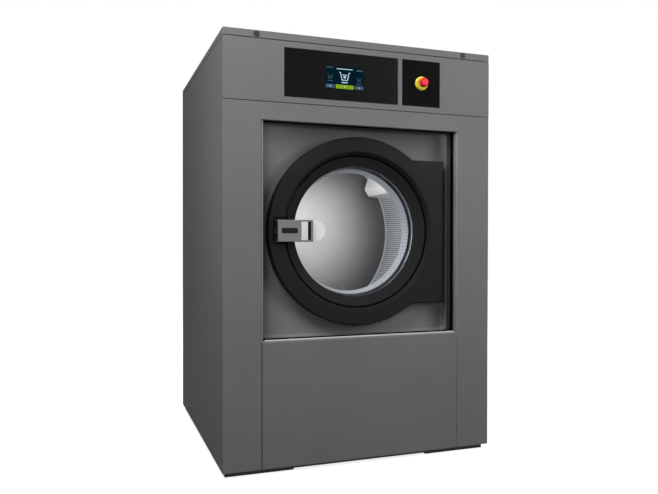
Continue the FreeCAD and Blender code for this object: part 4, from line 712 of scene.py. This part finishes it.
def wash_tub(name, across, down, size, stroke, finish):
    """The outline of a wash tub; the values above are shares of its size or stroke, apart from its lift."""
    middle = Vector(screen_point(across, down, TUB_LIFT))
    clear_selection()
    bpy.ops.mesh.primitive_plane_add(size=size, location=middle, rotation=(math.pi / 2, 0, 0))
    bpy.ops.transform.resize(value=(1, 1, TUB_SQUAT))
    outline = placed(name)
    pick(outline, edges=lambda one, other: max(one.z, other.z) < middle.z)
    bpy.ops.transform.resize(value=(TUB_FOOT, 1, 1), center_override=middle)
    pick(outline, faces=every_face)
    bpy.ops.mesh.inset(thickness=stroke)
    pick(outline, faces=lambda centre, normal: (centre.z > middle.z - size * TUB_OPEN
                                                and abs(centre.x - middle.x) < stroke))
    bpy.ops.mesh.delete(type="FACE")
    thicken(outline, -THIN)

    depth = (middle.y - THIN, middle.y)
    top = middle.z + size * BRIM_TOP
    parts = [outline]
    for side in (-1, 1):
        brim = slab("brim", span(middle.x + side * size * BRIM_X, -size * BRIM_REACH, size * BRIM_REACH),
                    depth, (top - stroke, top))
        pick(brim, faces=faces_looking(X, side))
        bpy.ops.transform.translate(value=(0, 0, size * BRIM_TILT))
        parts.append(brim)
    parts.append(slab("water_line", span(middle.x, -size * WATER_REACH, size * WATER_REACH), depth,
                      span(middle.z + size * WATER_UP, 0, stroke * WATER_STROKE)))
    laundry = slab("laundry", span(middle.x, -size * LAUNDRY_REACH, size * LAUNDRY_REACH), depth,
                   span(middle.z, -size * LAUNDRY_LOW, size * LAUNDRY_TOP))
    round_edges(laundry, edges_along(Y), size * LAUNDRY_ROUND, segments=4)
    settle(join(name, [*parts, laundry]), "cabinet", finish)


def arrow(name, across, down, size, way):
    """A small triangle that points left or right."""
    clear_selection()
    bpy.ops.mesh.primitive_circle_add(vertices=3, radius=size, fill_type="NGON",
                                      location=screen_point(across, down, THIN + BUTTON_THICK),
                                      rotation=(math.pi / 2, way * math.pi / 2, 0))
    piece = placed(name)
    thicken(piece, -THIN)
    settle(piece, "cabinet", screen_white)


wash_tub("screen_tub_middle", 0.5, 0.43, 0.033, 0.0024, screen_white)
wash_tub("screen_tub_left", 0.125, 0.47, 0.018, 0.0014, screen_dim)
wash_tub("screen_tub_right", 0.875, 0.53, 0.018, 0.0014, screen_dim)
arrow("screen_arrow_back", 0.12, 0.88, 0.0032, -1)
arrow("screen_arrow_next", 0.88, 0.88, 0.0032, 1)
arrow("screen_arrow_start", 0.5, 0.88, 0.0034, 1)

# %% [markdown]
# ** Handle trim.** The grey pull lever carries a small sunk plate. Its grip opening has a bright insert
# and, over the edge that the fingers pull on, a black rubber strip, near black also as painted shade inside
# the opening; a black cap closes its left end. All of them start as slabs; bevels take off their sharp
# edges, and insets give the plates their rims.

# %% Plate, insert, finger strip and end cap of the handle
lever_left, lever_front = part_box("handle_lever")[0][:2]
PLATE_X, PLATE_Y, PLATE_Z = (-0.2885, -0.2335), span(lever_front, -0.0008, 0.0005), (0.7900, 0.8075)
INSERT_X, INSERT_Y, INSERT_Z = (-0.2205, -0.1972), span(lever_front, 0.0010, 0.0040), (0.7670, 0.8290)
STRIP_X, STRIP_Y, STRIP_Z = (-0.1972, -0.1868), span(lever_front, -0.0008, 0.009), (0.7675, 0.8285)
CAP_X, CAP_Y, CAP_Z = span(lever_left, -0.0003, 0.0009), span(lever_front, 0.002, 0.022), (0.7625, 0.8335)
INSERT_RISE = 0.0006

sunk_plate = slab("handle_plate", PLATE_X, PLATE_Y, PLATE_Z)
round_edges(sunk_plate, edges_along(Y), offset=0.004, segments=6)
pick(sunk_plate, faces=faces_looking(Y, -1))
bpy.ops.mesh.inset(thickness=0.0010, depth=0)
bpy.ops.mesh.inset(thickness=0.0005, depth=-0.0004)
settle(sunk_plate, "handle", finishes["black_plastic"])

insert = slab("handle_grip_insert", INSERT_X, INSERT_Y, INSERT_Z)
pick(insert, faces=faces_looking(Y, -1))
bpy.ops.mesh.inset(thickness=0.0012, depth=INSERT_RISE)
round_edges(insert, edges_at(Y, INSERT_Y[0] - INSERT_RISE), offset=0.0005, segments=3)
insert_finish = coat("bright_grip_insert", (0.52, 0.52, 0.52), 0.02, (0.34, 0.44), 900, 0.00002, 0.2)
settle(insert, "handle", insert_finish)

strip = slab("handle_finger_strip", STRIP_X, STRIP_Y, STRIP_Z)
round_edges(strip, edges_at(Y, STRIP_Y[0]), offset=0.0014, segments=5)
# Painted shade: the finger strip is darker than the other blacks, standing in for the shade in the grip
# opening.
strip_finish = coat("black_finger_rubber_painted_shade", (0.004, 0.004, 0.004), 0.1, (0.65, 0.8), 900, 0.00004, 0.05)
settle(strip, "handle", strip_finish)

end_cap = slab("handle_end_cap", CAP_X, CAP_Y, CAP_Z)
round_edges(end_cap, edges_along(X), offset=0.003, segments=5)
pick(end_cap, faces=faces_looking(X, -1))
bpy.ops.mesh.inset(thickness=0.003, depth=-0.0003)
settle(end_cap, "handle", finishes["black_plastic"])
print("handle trim:", sunk_plate.name, insert.name, strip.name, end_cap.name)

# %% [markdown]
# ** Door groove.** A soft black seal fills the groove between the door's outer ring and its inner cone;
# its black without sheen is painted shade for the groove. A torus is the quick way, but the seal has to
# stop at the handle's pocket, so a small disc is set at one side of the pocket and spun round the door's
# axis to the other side. The disc stays as the seal's end, so the seal is a closed body.

# %% Seal in the door's groove
SEAL_REACH, SEAL_RADIUS, SEAL_Y, SEAL_OPEN = 0.2645, 0.0030, -0.4222, math.radians(11.2)
start_at = math.pi - SEAL_OPEN
clear_selection()
bpy.ops.mesh.primitive_circle_add(
    vertices=12, radius=SEAL_RADIUS, fill_type="NGON", rotation=(0, -start_at, 0),
    location=(SEAL_REACH * math.cos(start_at), SEAL_Y, AXIS_HEIGHT + SEAL_REACH * math.sin(start_at)))
groove_seal = placed("door_groove_seal")
pick(groove_seal, faces=every_face)
bpy.ops.mesh.spin(steps=112, angle=2 * start_at, center=(0, SEAL_Y, AXIS_HEIGHT), axis=(0, 1, 0))
face_outwards()
# Painted shade: a black with no sheen, so that the groove and the gaps where this finish is used read as
# shade.
seal_finish = coat("black_seal_painted_shade", (0.0025, 0.0025, 0.0025), 0.1, (0.7, 0.8), 900, 0.00004, 0.0)
settle(groove_seal, "door", seal_finish)
print("seal:", len(groove_seal.data.polygons), "faces, nearest to the handle:",
      min(abs(corner.co.z - AXIS_HEIGHT) for corner in groove_seal.data.vertices if corner.co.x < 0))

# %% [markdown]
# ** Rubber edge of the recess pan.** The drawn pan ends in a bare sheet edge, so a black rubber profile is
# pushed over it; its black is also painted shade for the gap in which the pan floats. A curve with a round
# bevel could draw it, but the pan's outline is a rectangle with round corners, so a plane does: its corners
# are rounded, it is inset, its middle is taken out, the ring is pulled back over the sheet and its sharp
# edges are rounded.

# %% Rubber edge of the pan
GUARD_OVER, GUARD_WIDE, GUARD_DEEP, GUARD_AHEAD, PAN_CORNER = 0.001, 0.0042, 0.022, 0.0025, 0.018
pan_low, pan_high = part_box("recess_pan")
pan_x, pan_z = [(pan_low[axis] + pan_high[axis]) / 2 for axis in (X, Z)]
clear_selection()
bpy.ops.mesh.primitive_plane_add(size=1, location=(pan_x, pan_low[1] - GUARD_AHEAD, pan_z),
                                 rotation=(math.pi / 2, 0, 0))
bpy.ops.transform.resize(value=(pan_high[0] - pan_low[0] + 2 * GUARD_OVER, 1,
                                pan_high[2] - pan_low[2] + 2 * GUARD_OVER))
guard = placed("pan_edge_guard_and_shade")
pick(guard, faces=every_face)
bpy.ops.mesh.bevel(offset=PAN_CORNER + GUARD_OVER, segments=8, affect="VERTICES")
bpy.ops.mesh.select_all(action="SELECT")
bpy.ops.mesh.inset(thickness=GUARD_WIDE)
pick(guard, faces=faces_at(pan_x, pan_z))
bpy.ops.mesh.delete(type="FACE")
thicken(guard, GUARD_DEEP)
pick(guard, edges=lambda one, other: False)
bpy.ops.mesh.edges_select_sharp(sharpness=math.radians(60))
bpy.ops.mesh.bevel(offset=0.0012, segments=4, affect="EDGES")
# The black rubber ring stands in for the shade of the gap between the pan and the cabinet.
settle(guard, "tub_group", finishes["black_rubber"])
print("pan edge:", len(guard.data.polygons), "faces")

# %% [markdown]
# ** Sill and header.** A thin bright strip lies on the edge of the recess's sill: a painted highlight where
# the sill's bend would catch the light. A black rubber strip behind it keeps drops out of the gap to the
# pan, and its black is painted shade for that gap. A second black rubber strip does the same under the
# header. All three are slabs with rounded ends and a soft edge on the side that shows.

# %% Strips on the sill and under the header
sill_low, sill_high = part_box("lower_front_panel")
FRONT, SILL = sill_low[1], sill_high[2]
HEADER_LOW, HEADER_TOP = (corner[2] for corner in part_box("header_panel"))
SILL_REACH, SILL_SUNK, HEADER_DROP = 0.350, 0.002, 0.0014
# Painted highlight: the sill strip is far paler than the cabinet paint.
sill_finish = coat("sill_strip_painted_highlight", (0.42, 0.42, 0.425), 0.04, (0.40, 0.52), 900, 0.00003, 0.1)
for name, depth, shown, hidden, slot, finish in (
        ("sill_strip", (0.0035, 0.0150), SILL + 0.0016, SILL - SILL_SUNK, "bright_steel", sill_finish),
        ("sill_rubber", (0.0155, 0.0330), SILL + 0.0030, SILL - SILL_SUNK, "black_rubber", seal_finish),
        ("header_rubber", (0.0150, 0.0335), HEADER_LOW - HEADER_DROP, HEADER_LOW, "black_rubber",
         seal_finish)):
    piece = slab(name, (-SILL_REACH, SILL_REACH), span(FRONT, *depth), sorted((shown, hidden)))
    round_edges(piece, edges_along(Z), offset=0.004, segments=6)
    round_edges(piece, edges_at(Z, shown), offset=0.0006, segments=3)
    settle(piece, "cabinet", finish)
    print(name, tuple(piece.dimensions))

# %% [markdown]
# ** Edge beads, fillers and seam backings.** The pillars' bends are the edges that catch the light, so each
# carries a thin pale bead: a painted highlight along the bend. A bead is a cylinder that is rounded at both
# ends and half sunk in the bend. Beside the header the bend would leave a groove, so a painted filler makes
# the front flat there, and a short flat bead, a painted highlight too, runs up its seam. Behind the seams
# of the lower panel and under the fascia lie rubber strips, so that no light or water comes through.

# %% Beads, fillers and strips at the seams
PILLAR_BEND, MOUTH, SEAM = 0.016, 0.354, 0.360
BEAD_RADIUS, BEAD_LENGTH, BEAD_RUN = 0.0016, 0.712, 0.018
SEAM_GAP, SEAM_EDGE, BACKING_REACH = 0.0005, 0.0008, 0.005
BACKING_LOW, BACKING_TOP, SHELF_REACH = 0.070, 0.432, 0.480
bend_reach = PILLAR_BEND * math.sin(math.pi / 4)
# Painted highlight: the beads are paler than the cabinet paint, as a lit bend would be.
bead_finish = coat("edge_bead_painted_highlight", (0.19, 0.19, 0.193), 0.03, (0.45, 0.55), 900, 0.00003, 0.05)


def upright(inner, outer, depth, low, high, round_off):
    """A strip along a seam: its places across, its depths behind the front and its heights."""
    piece = slab("upright", sorted((inner, outer)), span(FRONT, *depth), (low, high))
    round_edges(piece, edges_along(Z), round_off, segments=2)
    return piece


beads, fillers, backings = [], [], []
for side in (-1, 1):
    clear_selection()
    bpy.ops.mesh.primitive_cylinder_add(
        vertices=16, radius=BEAD_RADIUS, depth=BEAD_LENGTH,
        location=(side * (MOUTH + PILLAR_BEND - bend_reach), FRONT + PILLAR_BEND - bend_reach, AXIS_HEIGHT))
    bead = placed("bead")
    round_edges(bead, lambda one, other: (one - other).length < BEAD_RADIUS, offset=0.0012, segments=3)
    beads.append(bead)
    beads.append(upright(side * (SEAM - SEAM_EDGE), side * (SEAM + 0.0006), (-0.0002, 0.002),
                         HEADER_LOW + SEAM_GAP, HEADER_LOW + BEAD_RUN, round_off=0.0003))
    fillers.append(upright(side * (SEAM - SEAM_EDGE), side * (MOUTH + PILLAR_BEND), (0.0001, 0.0035),
                           HEADER_LOW + SEAM_GAP, HEADER_TOP - SEAM_GAP, round_off=0.0001))
    backings.append(upright(side * (SEAM - BACKING_REACH), side * (SEAM + BACKING_REACH), (0.0025, 0.0055),
                            BACKING_LOW, BACKING_TOP, round_off=0.0008))
shelf = slab("shelf", (-SHELF_REACH, SHELF_REACH), span(FRONT, 0.0021, 0.0060),
             span(HEADER_TOP, -0.0035, 0.0024))
round_edges(shelf, edges_along(X), offset=0.0008, segments=2)
backings.append(shelf)
settle(join("recess_edge_highlight_beads", beads), "cabinet", bead_finish)
settle(join("header_fillers", fillers), "cabinet", finishes["cabinet_paint"])
settle(join("seam_backings", backings), "cabinet", finishes["black_rubber"])
print("beads:", len(beads), "fillers:", len(fillers), "backings:", len(backings))

# %% [markdown]
# **Service cover.** The belt and the motor are reached from behind, through a cover that is pressed from
# one sheet and screwed to the rear panel. It starts as a slab: its corners are rounded, an inset leaves
# the flat rim for the screws, and a second inset with a depth raises the field. Louvres let the motor's
# warm air out: each is a slab whose lower outer edge is pulled out, so that it opens downwards and dust
# falls past it.

# %% Service cover and louvres
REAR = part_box("rear_panel")[1][1]
COVER_X, COVER_LOW, COVER_TOP, COVER_SHEET, COVER_RISE = 0.31, 0.30, 0.98, 0.002, 0.005
LOUVRE_ROWS, LOUVRE_TOP, LOUVRE_PITCH = 6, 0.86, 0.036
LOUVRE_X, LOUVRE_REACH, LOUVRE_HIGH, LOUVRE_OPEN = 0.13, 0.10, 0.022, 0.008
sheet_face = REAR + COVER_SHEET
cover = slab("rear_service_cover", (-COVER_X, COVER_X), (REAR, sheet_face), (COVER_LOW, COVER_TOP))
round_edges(cover, edges_along(Y), offset=0.045, segments=10)
pick(cover, faces=faces_looking(Y, 1))
bpy.ops.mesh.inset(thickness=0.024)
bpy.ops.mesh.inset(thickness=0.006, depth=COVER_RISE)
settle(cover, "cabinet", finishes["cabinet_paint"])

field = sheet_face + COVER_RISE
louvres = []
for row in range(LOUVRE_ROWS):
    foot = LOUVRE_TOP - LOUVRE_PITCH * row
    for side in (-1, 1):
        louvre = slab("louvre", span(side * LOUVRE_X, -LOUVRE_REACH, LOUVRE_REACH),
                      span(field, -0.001, 0.0012), (foot, foot + LOUVRE_HIGH))
        pick(louvre, edges=lambda one, other: (min(one.y, other.y) > field
                                               and max(one.z, other.z) < foot + CLOSE))
        bpy.ops.transform.translate(value=(0, LOUVRE_OPEN, 0))
        round_edges(louvre, lambda one, other: min(one.y, other.y) > field, offset=0.0007, segments=3)
        louvres.append(louvre)
settle(join("rear_louvres", louvres), "cabinet", finishes["cabinet_paint"])
print("louvres:", len(louvres))

# %% [markdown]
# **Screws and lock nuts.** Button screws hold the cover, and a hexagon nut locks each water inlet on the
# outside of the rear panel. A screw starts as a short cylinder: its rim is rounded, and its top is inset
# and pushed in for the driver. A nut starts as a flat hexagon: inset, opened in the middle, pulled out
# and bevelled.

# %% Screws of the cover
SCREW_RADIUS, SCREW_HIGH, SCREW_RIM, SCREW_ROWS = 0.0055, 0.003, 0.012, (0.34, 0.64, 0.94)
screw_places = [(side * (COVER_X - SCREW_RIM), height) for side in (-1, 1) for height in SCREW_ROWS]
screw_places += [(0, COVER_LOW + SCREW_RIM), (0, COVER_TOP - SCREW_RIM)]
screws = []
for x, z in screw_places:
    clear_selection()
    bpy.ops.mesh.primitive_cylinder_add(vertices=24, radius=SCREW_RADIUS, depth=SCREW_HIGH,
                                        rotation=(-math.pi / 2, 0, 0),
                                        location=(x, sheet_face + SCREW_HIGH / 2, z))
    screw = placed("screw")
    top = sheet_face + SCREW_HIGH
    round_edges(screw, edges_at(Y, top), offset=0.0010, segments=4)
    on_axis = faces_at(x, z)
    pick(screw, faces=lambda centre, normal: on_axis(centre, normal) and centre.y > top - CLOSE)
    bpy.ops.mesh.inset(thickness=0.0018, depth=0)
    bpy.ops.mesh.inset(thickness=0.0001, depth=-0.0012)
    screws.append(screw)
settle(join("service_cover_screws", screws), "cabinet", finishes["bright_steel"])
print("screws:", len(screws))

# %% Nuts of the inlets
NUT_RADIUS, NUT_WALL, NUT_HIGH = 0.0225, 0.0062, 0.009
INLETS_X, INLETS_Z = (-0.260, -0.200, -0.140), 1.260
nuts = []
for x in INLETS_X:
    clear_selection()
    bpy.ops.mesh.primitive_circle_add(vertices=6, radius=NUT_RADIUS, fill_type="NGON",
                                      location=(x, REAR, INLETS_Z), rotation=(-math.pi / 2, 0, 0))
    nut = placed("nut")
    pick(nut, faces=every_face)
    bpy.ops.mesh.inset(thickness=NUT_WALL)
    pick(nut, faces=faces_at(x, INLETS_Z))
    bpy.ops.mesh.delete(type="FACE")
    thicken(nut, NUT_HIGH)
    on_top = edges_at(Y, REAR + NUT_HIGH)
    round_edges(nut, lambda one, other: (on_top(one, other)
                                         and abs((one - other).length - NUT_RADIUS) < CLOSE),
                offset=0.0012, segments=2)
    nuts.append(nut)
settle(join("inlet_lock_nuts", nuts), "cabinet", finishes["alloy"])
print("nuts:", len(nuts))

# %% [markdown]
# ** Springs and hoses.** The tub floats a few millimetres up and down in the cabinet, so whatever joins
# the two has to give: the four springs under it, the hose that fills it and the hose that drains it. They
# could ride on one side and cut into the other, but here each is a copy of the CAD piece, with its own
# mesh, and the CAD piece is hidden.

# %% Own copies of the springs and hoses
for name, rises in (("suspension_springs", True), ("drain_hose", True), ("fill_hose", False)):
    make_active(nodes[name])
    bpy.ops.object.duplicate()
    bpy.ops.object.parent_clear(type="CLEAR_KEEP_TRANSFORM")
    piece = placed(name + "_flexible")
    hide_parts(name)
    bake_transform(piece)
